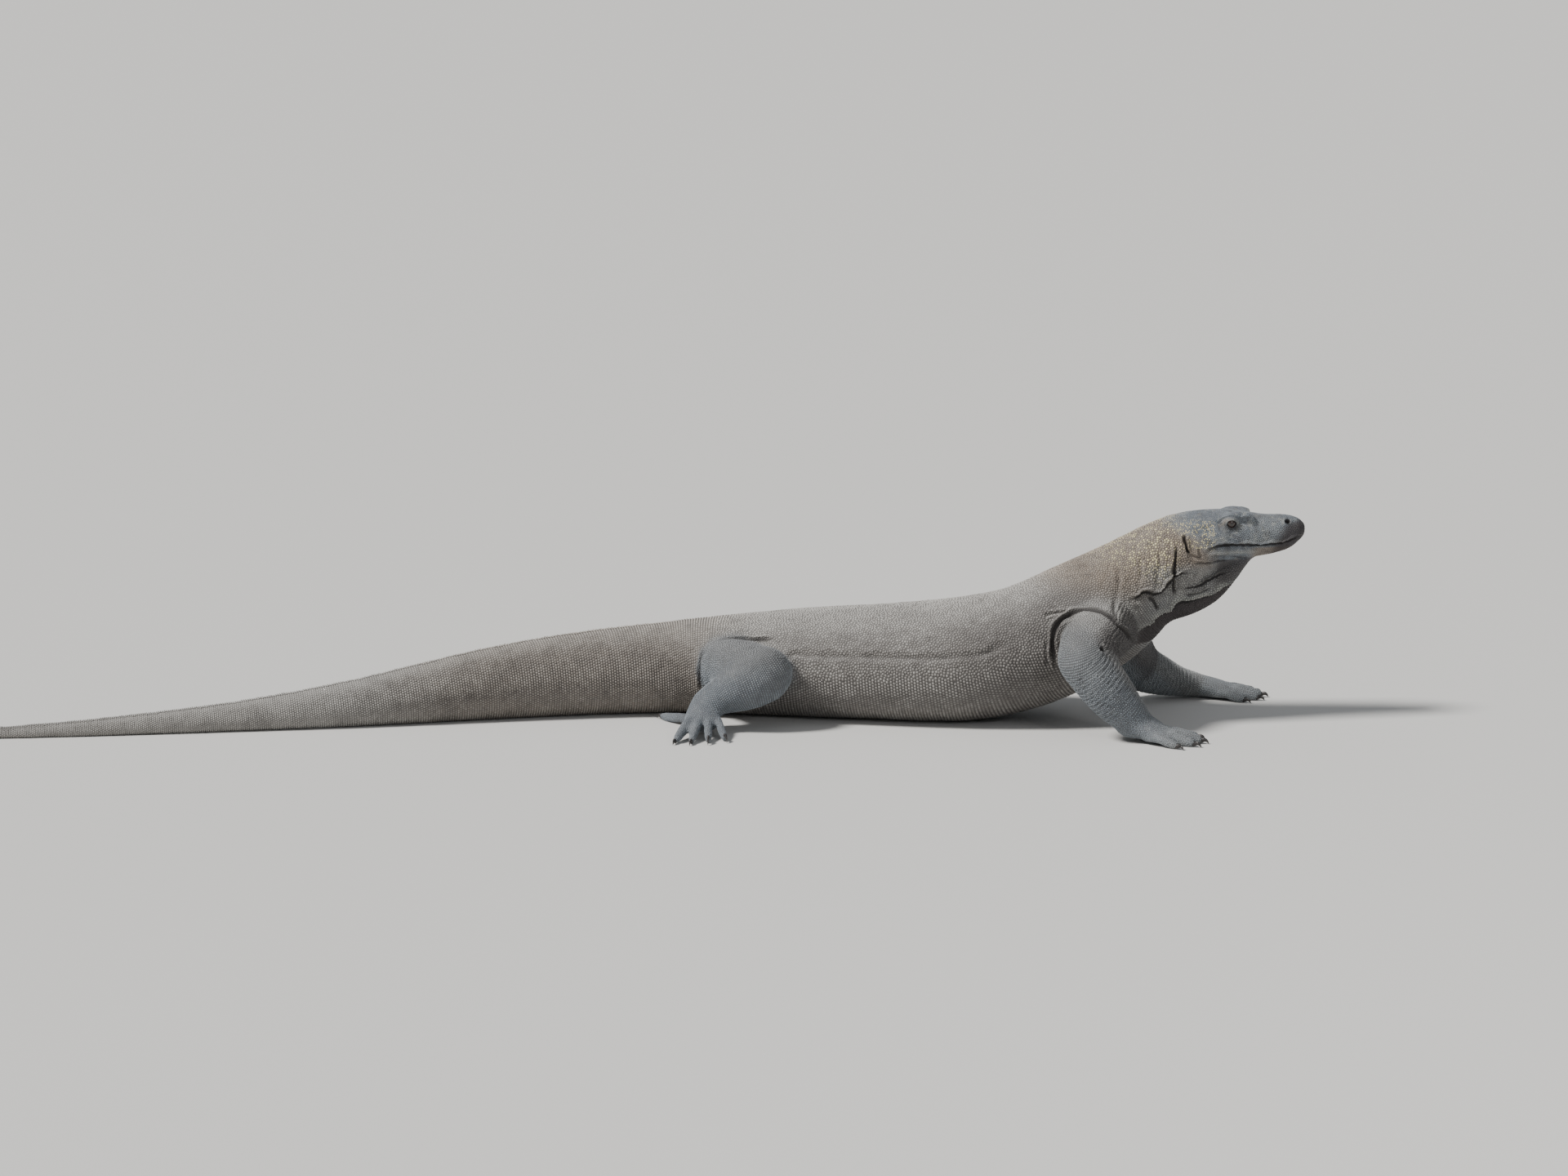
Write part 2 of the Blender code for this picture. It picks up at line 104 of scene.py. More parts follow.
class Ring:
    """Each point's neighbours along the edges of a mesh."""

    def __init__(self, mesh):
        edges = rows_of(mesh.edges, "vertices", 2, np.int32)
        start = np.concatenate([edges[:, 0], edges[:, 1]])
        order = np.argsort(start, kind="stable")
        self.end = np.concatenate([edges[:, 1], edges[:, 0]])[order]
        self.count = np.bincount(start, minlength=len(mesh.vertices))[:, None]
        self.first = np.concatenate([[0], np.cumsum(self.count[:-1])])

    def mean(self, values):
        return np.add.reduceat(values[self.end], self.first, axis=0) / self.count

    def soften(self, values, passes):
        """Draws each point's value halfway to its neighbours' mean, as often as passes says there."""
        rows = values.reshape(len(values), -1)
        passes = np.broadcast_to(passes, len(values))
        for turn in range(math.ceil(passes.max())):
            share = 0.5 * np.clip(passes - turn, 0, 1)[:, None]
            rows = rows + share * (self.mean(rows) - rows)
        return rows.reshape(values.shape)


def cast(name, made):
    """The mesh of a finished bmesh."""
    mesh = bpy.data.meshes.new(name)
    made.to_mesh(mesh)
    made.free()
    return mesh


cad_points, cad_faces, cad_owner = [], [], []
blank = bmesh.new()
for name in [*FLESH, *EYES]:
    piece = bmesh.new()
    piece.from_mesh(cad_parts[name].data)
    bmesh.ops.remove_doubles(piece, verts=piece.verts, dist=SAME_PLACE)
    piece.normal_update()
    first = len(cad_points)
    cad_points += [v.co.copy() for v in piece.verts]
    cad_faces += [[first + v.index for v in face.verts] for face in piece.faces]
    cad_owner += [name] * len(piece.faces)
    for v, normal in [(v, v.normal.copy()) for v in piece.verts]:
        v.co += normal * JOINT_FILL
    swelled = cast(name, piece)
    blank.from_mesh(swelled)
    bpy.data.meshes.remove(swelled)
cad_tree = BVHTree.FromPolygons(cad_points, cad_faces)


def owners_of(points):
    """The flesh piece nearest to each point."""
    return np.array([cad_owner[cad_tree.find_nearest(p)[2]] for p in points.tolist()])


def evaluated(piece):
    """A piece's mesh with its modifiers applied."""
    return bpy.data.meshes.new_from_object(piece.evaluated_get(bpy.context.evaluated_depsgraph_get()))


def new_piece(name, data):
    piece = bpy.data.objects.new(name, data)
    bpy.context.scene.collection.objects.link(piece)
    return piece


hide = new_piece("hide", cast("hide", blank))
run_together = hide.modifiers.new("run_together", "REMESH")
run_together.mode = "VOXEL"
run_together.voxel_size = SHELL_STEP
hide.data = evaluated(hide)
hide.modifiers.clear()

points = points_of(hide.data)
normals = normals_of(hide.data)
kinds = np.array([part_of(owner) for owner in owners_of(points)])
tree, corners = tree_of(hide.data)
depth = np.array([
    tree.ray_cast(Vector(p) - Vector(n) * LOOK_IN, -Vector(n))[3] or DEPTH_UNSEEN
    for p, n in zip(points.tolist(), normals.tolist())
])
ring = Ring(hide.data)
thick = (ring.soften(depth, DEPTH_PASSES) / 2 / SHELL_STEP) ** 2
softening = np.where(kinds == "limb", FACET_SOFTENING["limb"], FACET_SOFTENING["body"])
passes = np.clip(softening * thick, LEAST_PASSES, MOST_PASSES)
passes[kinds == "head"] = HEAD_PASSES
passes[kinds == "paw"] = PAW_PASSES
passes = ring.soften(passes, BLEND_PASSES)
smoothed = ring.soften(points, passes)
place_points(hide.data, smoothed)
normals = normals_of(hide.data)
lost = ((points - smoothed) * normals).sum(1)[:, None]
place_points(hide.data, smoothed + normals * ring.soften(lost, passes))

# The head's own axes, taken from the eyeballs: forward, across to the animal's left, and up.
# The head is turned a little, so its folds and markings are placed by these.
UP = Vector((0, 0, 1))
eye_centres = {name: sum(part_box(name), Vector()) / 2 for name in EYES}
eye_radius = (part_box("eye_left")[1].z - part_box("eye_left")[0].z) / 2
brow_middle = sum(eye_centres.values(), Vector()) / 2
across = (eye_centres["eye_left"] - eye_centres["eye_right"]).normalized()
forward = across.cross(UP)


def in_head(points):
    """How far points lie forward of, up from and across from the middle between the eyes."""
    offset = points - np.array(brow_middle)
    return offset @ np.array(forward), offset[:, 2], offset @ np.array(across)


# Folds of the hide: the lines that a crease is pressed along. Each row gives the crease's width and depth in
# tenths of a millimetre, how far its upper bank hangs over it, and its places, also in tenths. Head and neck
# places lie forward of and up from the middle between the eyes; the others lie ahead of and up from the
# middle of the top of a piece.
TENTHS = 1e4
NECK_FOLDS = (
    (21, 52, 0.3, (-840, -280), (-853, -470), (-872, -620), (-876, -760), (-875, -980), (-864, -1180)),
    (22, 56, 1.0, (-1620, -1130), (-1545, -1128), (-1448, -1109), (-1367, -1038), (-1286, -1033),
     (-1189, -1069), (-1073, -1048), (-992, -962), (-929, -881), (-849, -802), (-735, -757), (-580, -745)),
    (26, 44, 0.5, (-1303, -1101), (-1212, -1155), (-1145, -1251), (-1113, -1361)),
    (18, 42, 0.6, (-762, -1014), (-656, -1006), (-550, -995), (-454, -969), (-360, -912), (-258, -860),
     (-144, -802), (0, -750)),
    (18, 32, 0.4, (-700, -1120), (-580, -1110), (-420, -1075), (-260, -1000)),
    (36, 16, 0.0, (-1120, -360), (-1100, -580), (-1140, -820), (-1120, -980)),
    (36, 14, 0.0, (-1400, -500), (-1390, -720), (-1430, -940)),
    (42, 16, 0.0, (-1720, -700), (-1740, -960), (-1800, -1200), (-1780, -1440)),
    (30, 18, 0.4, (-1500, -1220), (-1420, -1320), (-1360, -1460)),
)
POUCH_RIDGE = (
    (26, 46, 1.0, (220, -830), (80, -955), (-57, -1031), (-211, -1127), (-379, -1181), (-508, -1214),
     (-635, -1229), (-763, -1239), (-825, -1297), (-885, -1381), (-1017, -1414), (-1108, -1458),
     (-1182, -1546), (-1337, -1626), (-1500, -1700)),
)
HEAD_FOLDS = (
    (18, 46, 0.8, (-420, -515), (-385, -440), (-299, -370), (-184, -340), (-30, -332), (164, -340),
     (424, -356), (682, -350), (873, -317), (1066, -246), (1180, -215)),
    (17, 20, 0.0, (-397, -535), (-269, -500), (-113, -500), (75, -535), (267, -565), (450, -560)),
    (17, 32, 0.5, (-620, -595), (-445, -605), (-294, -610), (-145, -585), (20, -600)),
    (19, 64, 0.0, (-727, -156), (-714, -251), (-690, -347), (-665, -421), (-620, -465)),
    (15, 24, 0.6, (-665, -440), (-589, -490), (-487, -505), (-420, -480)),
    (16, 20, 0.3, (-440, -500), (-500, -430), (-500, -360)),
    (14, 20, 0.0, (215, 0), (212, -80), (160, -148), (60, -180), (-60, -172), (-150, -125), (-195, -60)),
    (20, 18, 0.4, (-280, -10), (-160, 42), (-41, 85), (82, 104), (207, 90), (330, 31)),
    (18, 12, 0.0, (-600, -40), (-440, -70), (-300, -50)),
)
SHOULDER_FOLDS = (
    (28, 52, 0.5, (-623, -1128), (-651, -998), (-664, -838), (-684, -719), (-693, -601), (-677, -461),
     (-637, -341), (-568, -240), (-453, -168), (-339, -112), (-198, -78), (-53, -85), (67, -123),
     (188, -185), (306, -285), (418, -411), (503, -521), (565, -620)),
    (24, 22, 0.2, (-850, -205), (-765, -175), (-650, -143), (-455, -120)),
    (24, 26, 0.0, (-590, -800), (-595, -678), (-592, -539), (-565, -429), (-515, -349), (-440, -288),
     (-360, -250)),
    (26, 20, 0.2, (-770, -560), (-785, -711), (-777, -852), (-750, -1000)),
    (30, 26, 0.3, (60, -620), (120, -680), (190, -750), (250, -820), (300, -900)),
    (27, 60, 0.0, (80, -640), (110, -675), (150, -712)),
    (34, 26, 0.0, (330, -500), (336, -600), (331, -690), (345, -800)),
)
FLANK_FOLDS = (
    (55, 22, 0.4, (-1790, -1229), (-1336, -1243), (-822, -1232), (-312, -1223), (196, -1216), (574, -1205),
     (950, -1171), (1199, -1141), (1384, -1077), (1568, -990), (1752, -904), (1960, -817)),
)
HIP_FOLDS = (
    (28, 36, 0.7, (-400, -80), (-300, -45), (-170, -30), (10, -30), (140, -42), (280, -42), (400, -48),
     (520, -80)),
    (26, 36, 0.0, (-610, -180), (-650, -320), (-668, -520), (-675, -720), (-660, -920)),
)
SHOULDER_OUT = 0.115
HIP_OUT = 0.085
HEAD_TABLES = ((NECK_FOLDS, "neck"), (HEAD_FOLDS, "head"), (POUCH_RIDGE, "ridge"))
BODY_TABLES = (("trunk", FLANK_FOLDS, 0), ("upper_arm_", SHOULDER_FOLDS, SHOULDER_OUT),
               ("thigh_", HIP_FOLDS, HIP_OUT))
LINE_STEP = 0.0015
WOBBLE = 0.0005
WOBBLE_WAVES = ((0.0021, 0.0047), (0.0052, 0.0019))
LOOK_FROM = 0.4
LOOK_DOWN = 0.178  # how steeply the joints' creases are looked down upon
EVENED = {"neck": 3, "head": 2, "ridge": 3, "flank": 20, "joint": 16}
side_of = {"right": -across, "left": across}
tree, corners = tree_of(hide.data)
lines = []


def eased_row(row):
    """More places between those of a row, on a Catmull-Rom curve, with a slight unevenness."""
    ends = np.array([row[0], *row, row[-1]])
    found = []
    for a, b, c, d in zip(ends, ends[1:], ends[2:], ends[3:]):
        for t in np.linspace(0, 1, max(2, round(np.linalg.norm(c - b) / LINE_STEP)), endpoint=False):
            bend, twist = 2 * a - 5 * b + 4 * c - d, 3 * b - a - 3 * c + d
            found.append(0.5 * (2 * b + (c - a) * t + bend * t**2 + twist * t**3))
    found = np.array(found)
    for i, (of_up, of_ahead) in enumerate(WOBBLE_WAVES):
        found[:, i] += WOBBLE * np.sin(found[:, 1] / of_up + found[:, 0] / of_ahead)
    return found


def evened_out(found, times):
    """A row of places, each drawn a little toward the places beside it."""
    for _ in range(times):
        found[1:-1] = (found[:-2] + 2 * found[1:-1] + found[2:]) / 4
    return found


def traced(anchor, ahead_way, out, row, evened=0):
    """Places on the hide and the ways that they face, found by looking in from one side, then evened out."""
    starts = [anchor + ahead_way * ahead + UP * up + out * LOOK_FROM for ahead, up in row]
    hits = [tree.ray_cast(start, -out)[0] for start in starts]
    found = evened_out(np.array([hit for hit in hits if hit is not None]), evened)
    nearest = [tree.find_nearest(place) for place in found.tolist()]
    return np.array([place[0] for place in nearest]), np.array([place[1] for place in nearest])


for side, out in side_of.items():
    square_out = Vector((0, -1 if side == "right" else 1, 0))
    places = [(brow_middle, forward, out, folds, region) for folds, region in HEAD_TABLES]
    for name, folds, away in BODY_TABLES:
        low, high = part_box(name + side if away else name)
        middle = Vector(((low.x + high.x) / 2, 0, high.z)) + square_out * away
        look = square_out + UP * LOOK_DOWN if away else square_out
        places.append((middle, Vector((1, 0, 0)), look, folds, "joint" if away else "flank"))
    for anchor, ahead_way, look, folds, region in places:
        for width, depth, hang, *row in folds:
            line, facing = traced(anchor, ahead_way, look, eased_row(np.array(row) / TENTHS), EVENED[region])
            lines.append((line, facing, width / TENTHS, depth / TENTHS, hang, region))

# Finer faces over the head and along the folds, and finer still round the eyes and nostrils.
# The hide takes its folds and lids there, and the blank's own faces are too coarse for them.
HEAD_BACK = -0.060
FINE_AROUND = ((0.0, -0.002, 0.025), (0.090, 0.0, 0.013))
FOLD_REACH = 3.4
LINE_REACH = 1.2
OFF_MIDDLE = 0.008
EVEN_PASSES = 2


def spots_tree(spots):
    """Spots made ready for looking up the nearest of them."""
    made = KDTree(len(spots))
    for i, spot in enumerate(spots):
        made.insert(spot, i)
    made.balance()
    return made


work = bmesh.new()
work.from_mesh(hide.data)
close_to = spots_tree([place for line in lines for place in line[0].tolist()])
reaches = [(width, region) for line, _, width, _, _, region in lines for _ in line]


def refine(chosen):
    edges = list({edge for face in chosen for edge in face.edges})
    bmesh.ops.subdivide_edges(work, edges=edges, cuts=1, use_grid_fill=True)
    bmesh.ops.triangulate(work, faces=[face for face in work.faces if len(face.verts) > 4])


def head_place(face):
    offset = face.calc_center_median() - brow_middle
    return offset.dot(forward), offset.z, offset.dot(across)


def by_a_fold(face, reach):
    """Whether a face lies within so many widths of a fold, and in which region that fold is."""
    _, number, distance = close_to.find(face.calc_center_median())
    width, region = reaches[number]
    return distance < width * reach + SHELL_STEP, region


refine([face for face in work.faces if head_place(face)[0] > HEAD_BACK or by_a_fold(face, FOLD_REACH)[0]])
near = []
for face in work.faces:
    ahead, up, aside = head_place(face)
    around = abs(aside) > OFF_MIDDLE
    around &= any(math.hypot(ahead - at, up - high) < reach for at, high, reach in FINE_AROUND)
    beside, region = by_a_fold(face, LINE_REACH)
    if around or (beside and region != "flank"):
        near.append(face)
refine(near)
bmesh.ops.triangulate(work, faces=work.faces)
work.to_mesh(hide.data)
work.free()
points = Ring(hide.data).soften(points_of(hide.data), EVEN_PASSES)
place_points(hide.data, points)

# The creases: loose hide laid over itself, darkened with painted shade where dust and shadow gather in its
# depth.
# Each is pressed in along its line, with a bank beside it and a recess below the bank that hangs over.
BANK = (0.36, 0.40)  # how high the bank rises, as a share of the crease's depth: plain, and added by hanging
BANK_AT = 2.0  # how many widths off the line the bank stands
RECESS = 0.55
RECESS_WIDTHS = 3.0
TAPER = 0.20
LONGEST_LEG = 0.02
PRESS_REACH = 7
UPPER_SIDE = (-0.4, 0, 1)
UNEVEN_WIDTH = (0.22, 0.0060, 400)
UNEVEN_DEPTH = (0.20, 0.0093, 700)
RECESS_SHADE = 0.35
TURNED_AWAY = (-0.1, 0.3)
CREASE_SHADE_SPREAD = {"joint": 1.7}  # how much wider than the crease its painted shade is
DARKEST_FROM = 0.0048  # how deep a crease is where its painted shade is darkest
FAINTER = 1.3  # the power by which shallower creases get less painted shade
CREST = (2.4, 1.7)  # how many widths off the line the painted highlight on the ridge stands, and its breadth
normals = normals_of(hide.data)
moved = np.zeros(len(points))
shades = {key: np.zeros(len(points)) for key in ("hollow", "crest", "under")}


def ease(low, high, values):
    """0 below low, 1 above high, and a soft step between."""
    share = np.clip((values - low) / (high - low), 0, 1)
    return share * share * (3 - 2 * share)


def bump(values, middle, breadth):
    """1 at the middle, falling away softly to both sides."""
    return np.exp(-(((values - middle) / breadth) ** 2))


def deepen(key, where, values):
    """Raises a shade to these values wherever they are more than it is."""
    shades[key][where] = np.maximum(shades[key][where], values)


def lengths_along(path):
    """The lengths of a path's legs, and how far each of its places lies from its start."""
    legs = np.linalg.norm(np.diff(path, axis=0), axis=1)
    return legs, np.concatenate([[0], np.cumsum(legs)])


def press(line, facing, width, depth, hang, region):
    """Presses one crease into the hide and shades it."""
    reach = PRESS_REACH * width
    near = np.nonzero(((points > line.min(0) - reach) & (points < line.max(0) + reach)).all(1))[0]
    legs, run = lengths_along(line)
    best = np.full(len(near), np.inf)
    share, same_way, over = np.zeros(len(near)), np.zeros(len(near)), np.zeros(len(near))
    up_sides = np.cross(facing[:-1], np.diff(line, axis=0))
    up_sides *= np.sign(up_sides.sum(0) @ UPPER_SIDE)
    for i, leg in enumerate(legs):
        if leg < SAME_PLACE or leg > LONGEST_LEG:
            continue
        along = (line[i + 1] - line[i]) / leg
        offset = points[near] - line[i]
        t = np.clip(offset @ along, 0, leg)
        distance = np.linalg.norm(offset - t[:, None] * along, axis=1)
        closer = distance < best
        best[closer] = distance[closer]
        share[closer] = (run[i] + t[closer]) / run[-1]
        same_way[closer] = (normals[near] @ facing[i])[closer]
        over[closer] = np.sign(offset[closer] @ up_sides[i])
    here = share * run[-1]
    wide, deep = (size * (1 + share_of * np.sin(here / wave + turned * size))
                  for size, (share_of, wave, turned) in ((width, UNEVEN_WIDTH), (depth, UNEVEN_DEPTH)))
    facing_us = ease(*TURNED_AWAY, same_way)
    fade = ease(0, TAPER, share) * ease(0, TAPER, 1 - share) * facing_us
    cut = np.exp(-((best / wide) ** 2))
    above, below = over > 0, over < 0
    bank = bump(best, BANK_AT * wide, wide) * (BANK[0] + hang * BANK[1] * above) * (1 - hang * below)
    recess = RECESS * hang * np.exp(-((best / (RECESS_WIDTHS * wide)) ** 2)) * below
    moved[near] += deep * fade * (bank - np.maximum(cut, recess))
    strength = min(1.0, (depth / DARKEST_FROM) ** FAINTER)
    # Painted shade along the crease and in the recess below a hanging bank.
    shade_in_crease = np.exp(-((best / (wide * CREASE_SHADE_SPREAD.get(region, 1.0))) ** 2))
    deepen("hollow", near, np.maximum(shade_in_crease * strength, RECESS_SHADE * strength * recess / RECESS) * fade)
    # On the throat's ridge: a painted highlight along its top, and painted shadow on the hide below it.
    if region == "ridge":
        deepen("crest", near, bump(best, CREST[0] * wide, CREST[1] * wide) * above * fade)
        deepen("under", near, ease(0.0, 1.0, best / wide) * below * facing_us)


for line in lines:
    press(*line)

# Small wrinkles: bands across the forearms, soft streaks down the neck, and a little unevenness all over.
# They are pressed in like the creases, then all that was pressed is laid on the hide at once.
ARM_WRINKLES = {"pitch": 0.0066, "depth": 0.0014, "shade": 0.62, "sway": 0.55}
ARM_BAND = (-0.062, -0.062 + 0.020, 0.030, 0.070)
NECK_WRINKLES = {"pitch": 0.0095, "depth": 0.0006, "shade": 0.16, "sway": 1.1}
NECK_BAND = (-0.23, -0.19, -0.095, -0.080)
NECK_UNDER = (-0.015, -0.035)
NECK_LEAN = 0.25
ROW_ROUND = 1.5
SWAY_SCALE = 42.0
CALM_HEAD = (0.6, -0.10, -0.04)  # how much less uneven the head is, and where that starts and is full
LUMPS = ((38.0, 0.0006), (95.0, 0.00035))
LUMPS_FROM = 7.3
kinds = owners_of(points)
head_ahead, head_up, _ = in_head(points)


def between(values, none, full, last, over):
    """1 from full to last, easing to 0 at none and at over."""
    return ease(none, full, values) * ease(over, last, values)


def wrinkle(distance, room, pitch, depth, shade, sway):
    """Presses rounded rows with narrow gaps into the hide, where there is room."""
    turn = distance / pitch + sway * swaying
    gap = (1 - np.abs(np.sin(math.pi * turn))) ** ROW_ROUND
    moved[:] -= depth * gap * room
    deepen("hollow", slice(None), shade * gap * room)


def long_way(cloud):
    """The direction in which a cloud of points is longest."""
    return np.linalg.svd(cloud - cloud.mean(0), full_matrices=False)[2][0]


swaying = np.array([noise.noise(p) for p in (points * SWAY_SCALE).tolist()])
for side in side_of:
    own = np.isin(kinds, ("upper_arm_" + side, "forearm_" + side))
    cloud = points_of(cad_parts["forearm_" + side].data)
    axis = long_way(cloud)
    axis *= 1 if axis[2] < 0 else -1
    reach = (points - cloud.mean(0)) @ axis
    wrinkle(reach, between(reach, *ARM_BAND) * own, **ARM_WRINKLES)
room = between(head_ahead, *NECK_BAND) * ease(*NECK_UNDER, head_up) * (kinds == "neck")
wrinkle(head_ahead + NECK_LEAN * head_up, room, **NECK_WRINKLES)
calm = 1 - CALM_HEAD[0] * ease(*CALM_HEAD[1:], head_ahead)
for scale, size in LUMPS:
    lump = np.array([noise.noise(p) for p in (points * scale + LUMPS_FROM).tolist()])
    moved += size * lump * calm
points += normals * moved[:, None]

# Eyelids: thick scaly rims that wrap the eyeball, drawn out of the hide round each eye.
# Each is an oval opening with a rounded edge and a few fine folds round it, and a socket behind.
LID_THICKNESS = 0.0017
APERTURE = (math.radians(38), math.radians(29))
SOCKET_DEPTH = 0.0035
LID_WRINKLES = ((1.36, 0.0006), (1.62, 0.0006), (1.92, 0.0005))
LID_WRINKLE_BREADTH = {"pressed": 0.075, "shaded": 0.07}
LID_WRINKLE_SHADE = 0.4
LID_FADES = (1.5, 2.8)  # how many half openings out the lid begins to give way to the face, and is gone
LID_REACH = 2.6
LID_EDGE = (0.90, 1.10)
LID_EDGE_RISE = 0.55
SOCKET_WITHIN = 0.95
LID_GAP_SHADE = (1.10, 0.98)
BEHIND = 1.9
GAZE = {"ahead": 0.14, "up": -0.16}


def gaze_of(side):
    return (side_of[side] + forward * GAZE["ahead"] + UP * GAZE["up"]).normalized()


for side in side_of:
    centre = eye_centres["eye_" + side]
    gaze = gaze_of(side)
    level = (forward - gaze * forward.dot(gaze)).normalized()
    rise = level.cross(gaze) if side == "right" else gaze.cross(level)
    rise = rise if rise.z > 0 else -rise
    offset = points - np.array(centre)
    reach = np.linalg.norm(offset, axis=1)
    near = np.nonzero(reach < eye_radius * LID_REACH)[0]
    away = offset[near] / reach[near][:, None]
    angle = np.arccos(np.clip(away @ np.array(gaze), -1, 1))
    turn = np.arctan2(away @ np.array(rise), away @ np.array(level))
    edge = 1 / np.hypot(np.cos(turn) / APERTURE[0], np.sin(turn) / APERTURE[1])
    share = angle / edge
    lid = eye_radius + LID_THICKNESS
    own = np.where(angle < BEHIND, np.maximum(reach[near], lid), reach[near])
    wanted = lid + (own - lid) * ease(*LID_FADES, share)
    for where, depth in LID_WRINKLES:
        wanted -= depth * bump(share, where, LID_WRINKLE_BREADTH["pressed"])
    rim = (share > LID_EDGE[0]) & (share < LID_EDGE[1])
    share[rim] = 1.0
    wanted[rim] = eye_radius + LID_THICKNESS * LID_EDGE_RISE
    inside = share < SOCKET_WITHIN
    wanted[inside] = eye_radius - SOCKET_DEPTH
    chosen = (share < LID_FADES[1]) | (own > reach[near])
    swing = share * edge
    flat = np.cos(turn)[:, None] * np.array(level) + np.sin(turn)[:, None] * np.array(rise)
    aim = np.cos(swing)[:, None] * np.array(gaze) + np.sin(swing)[:, None] * flat
    points[near[chosen]] = np.array(centre) + (aim * wanted[:, None])[chosen]
    deepen("hollow", near, ease(*LID_GAP_SHADE, share))
    for where, _ in LID_WRINKLES:
        deepen("hollow", near, LID_WRINKLE_SHADE * bump(share, where, LID_WRINKLE_BREADTH["shaded"]))

# Nostrils: an oval pit with a raised rim near the end of the snout on each side.
# Each is pressed straight in at the place where a look from the side meets the snout.
NOSTRIL = (0.0895, 0.0005)
NOSTRIL_SIZE = (0.0044, 0.0030)
NOSTRIL_DEPTH = 0.0065
NOSTRIL_PIT = (1.05, 0.35)
NOSTRIL_RIM = 0.0009
NOSTRIL_RIM_AT = (1.35, 0.28)
NOSTRIL_REACH = (2.2, 0.012)
NOSTRIL_SHADE = (1.15, 0.7)
for out in side_of.values():
    (place,), (facing,) = traced(brow_middle, forward, out, (NOSTRIL,))
    offset = points - place
    share = np.hypot(offset @ np.array(forward) / NOSTRIL_SIZE[0], offset[:, 2] / NOSTRIL_SIZE[1])
    close = (share < NOSTRIL_REACH[0]) & (np.abs(offset @ np.array(out)) < NOSTRIL_REACH[1])
    pit = NOSTRIL_DEPTH * ease(*NOSTRIL_PIT, share) - NOSTRIL_RIM * bump(share, *NOSTRIL_RIM_AT)
    points[close] -= facing * pit[close][:, None]
    deepen("hollow", close, ease(*NOSTRIL_SHADE, share)[close])
place_points(hide.data, points)

# Lines down the middle of the body and of each lower leg, for the hoops of scales to run round.
# They join the middles of thin slices, and are evened out.
SPINE_STEP = 0.012
LEG_STEP = 0.008
LEAST_IN_SLICE = 9
SPINE_EVENED = 3
HEAD_STARTS = -0.07


def middles(chosen, axis, step):
    """The middle of each slice of the chosen points across an axis."""
    origin = points[chosen].mean(0)
    reach = (points[chosen] - origin) @ axis
    slices = np.round(reach / step).astype(int)
    found = []
    for number in range(slices.min(), slices.max() + 1):
        cut = points[chosen][slices == number]
        if len(cut) >= LEAST_IN_SLICE:
            found.append((cut.min(0) + cut.max(0)) / 2)
    return evened_out(np.array(found), SPINE_EVENED)


kinds = owners_of(points)
ahead, _, _ = in_head(points)
torso = np.array([name.startswith(("trunk", "tail", "neck", "throat")) for name in kinds])
torso &= ahead < HEAD_STARTS
spine = middles(torso, np.array((1.0, 0, 0)), SPINE_STEP)
leg_lines = []
for name in [name + "_" + side for side in side_of for name in ("forearm", "shin")]:
    leg_lines.append(middles(kinds == name, long_way(points[kinds == name]), LEG_STEP))

# The blank is thinned, least on the head and in the folds. It is lowered by the depth of the scales that
# cover it, and takes the place of all the pieces of flesh.
SKIN_FACES = {"head": 60_000, "fold": 46_000, "plain": 84_000}
FINE_HEAD = -0.10
FOLD_FROM = 0.05
COAT_DEPTH = 0.0008
OFF_FLOOR = 0.0004
points -= normals_of(hide.data) * COAT_DEPTH
points[:, 2] = np.maximum(points[:, 2], OFF_FLOOR)
place_points(hide.data, points)


def note(mesh, values):
    """Writes values down at a mesh's points, under their names."""
    for key, column in values.items():
        attribute = mesh.attributes.new(key, "FLOAT", "POINT")
        attribute.data.foreach_set("value", column.astype(np.float32))


note(hide.data, shades)
stretch = np.where(ahead > FINE_HEAD, "head", np.where(shades["hollow"] > FOLD_FROM, "fold", "plain"))
left = len(hide.data.polygons)
first = np.array([polygon.vertices[0] for polygon in hide.data.polygons])
for key, most in SKIN_FACES.items():
    chosen = hide.vertex_groups.new(name=key)
    chosen.add(np.nonzero(stretch == key)[0].tolist(), 1.0, "REPLACE")
    lost = max(0, int((stretch[first] == key).sum()) - most)
    thin = hide.modifiers.new(key, "DECIMATE")
    thin.ratio = (left - lost) / left
    thin.vertex_group = key
    left -= lost
hide.data = evaluated(hide)
hide.modifiers.clear()
hide.vertex_groups.clear()
hide.data.shade_smooth()
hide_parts(*FLESH)
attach(hide, "root")

# The coat: beads of bony scale set edge to edge over the whole hide, in hoops round the body, tail and legs,
# and scattered where the hoops run out. Each is cut to the room that its neighbours leave it.
PITCH = {"back": 0.0038, "belly": 0.0049, "tail": 0.0044, "tail_tip": 0.0026, "neck": 0.0034, "limb": 0.0032,
         "paw": 0.0024, "head": 0.0022, "lid": 0.0016}
PITCH_PASSES = 6
JAW_CORNER = (-0.045, -0.062)  # the head's scales reach back over the neck to here
LID_SCALES = (0.019, 0.013)
BELLY_LINE = (-0.016, 0.010)  # how far below and above the middle of the side the rows of the belly give way
TAIL_BLEND = 0.05
IN_CREASE = 0.40  # how much smaller the scales in a crease are
HOOP_RAYS = 80
ROW_STEP = 0.95
LOOK_ALONG = 0.02
MISSED_STEP = 0.004  # how far on the next hoop is tried when the hide isn't found all round
HOOP_SHARE = 75  # the percentile of the widths round a hoop that its scales take
FEWEST_IN_HOOP = 5
ROWS_END = 0.3  # how deep in a crease the hoops give way to strays
NEAREST_SCALE = 0.72
NEAREST_STRAY = 0.79
STRAYS_TRIED = 8
SETTLED = 3
SETTLED_BY = 6
SETTLED_APART = 1.04
SHOVE = 0.40
KEEL_REACH = 0.0055
TINY = 1e-24
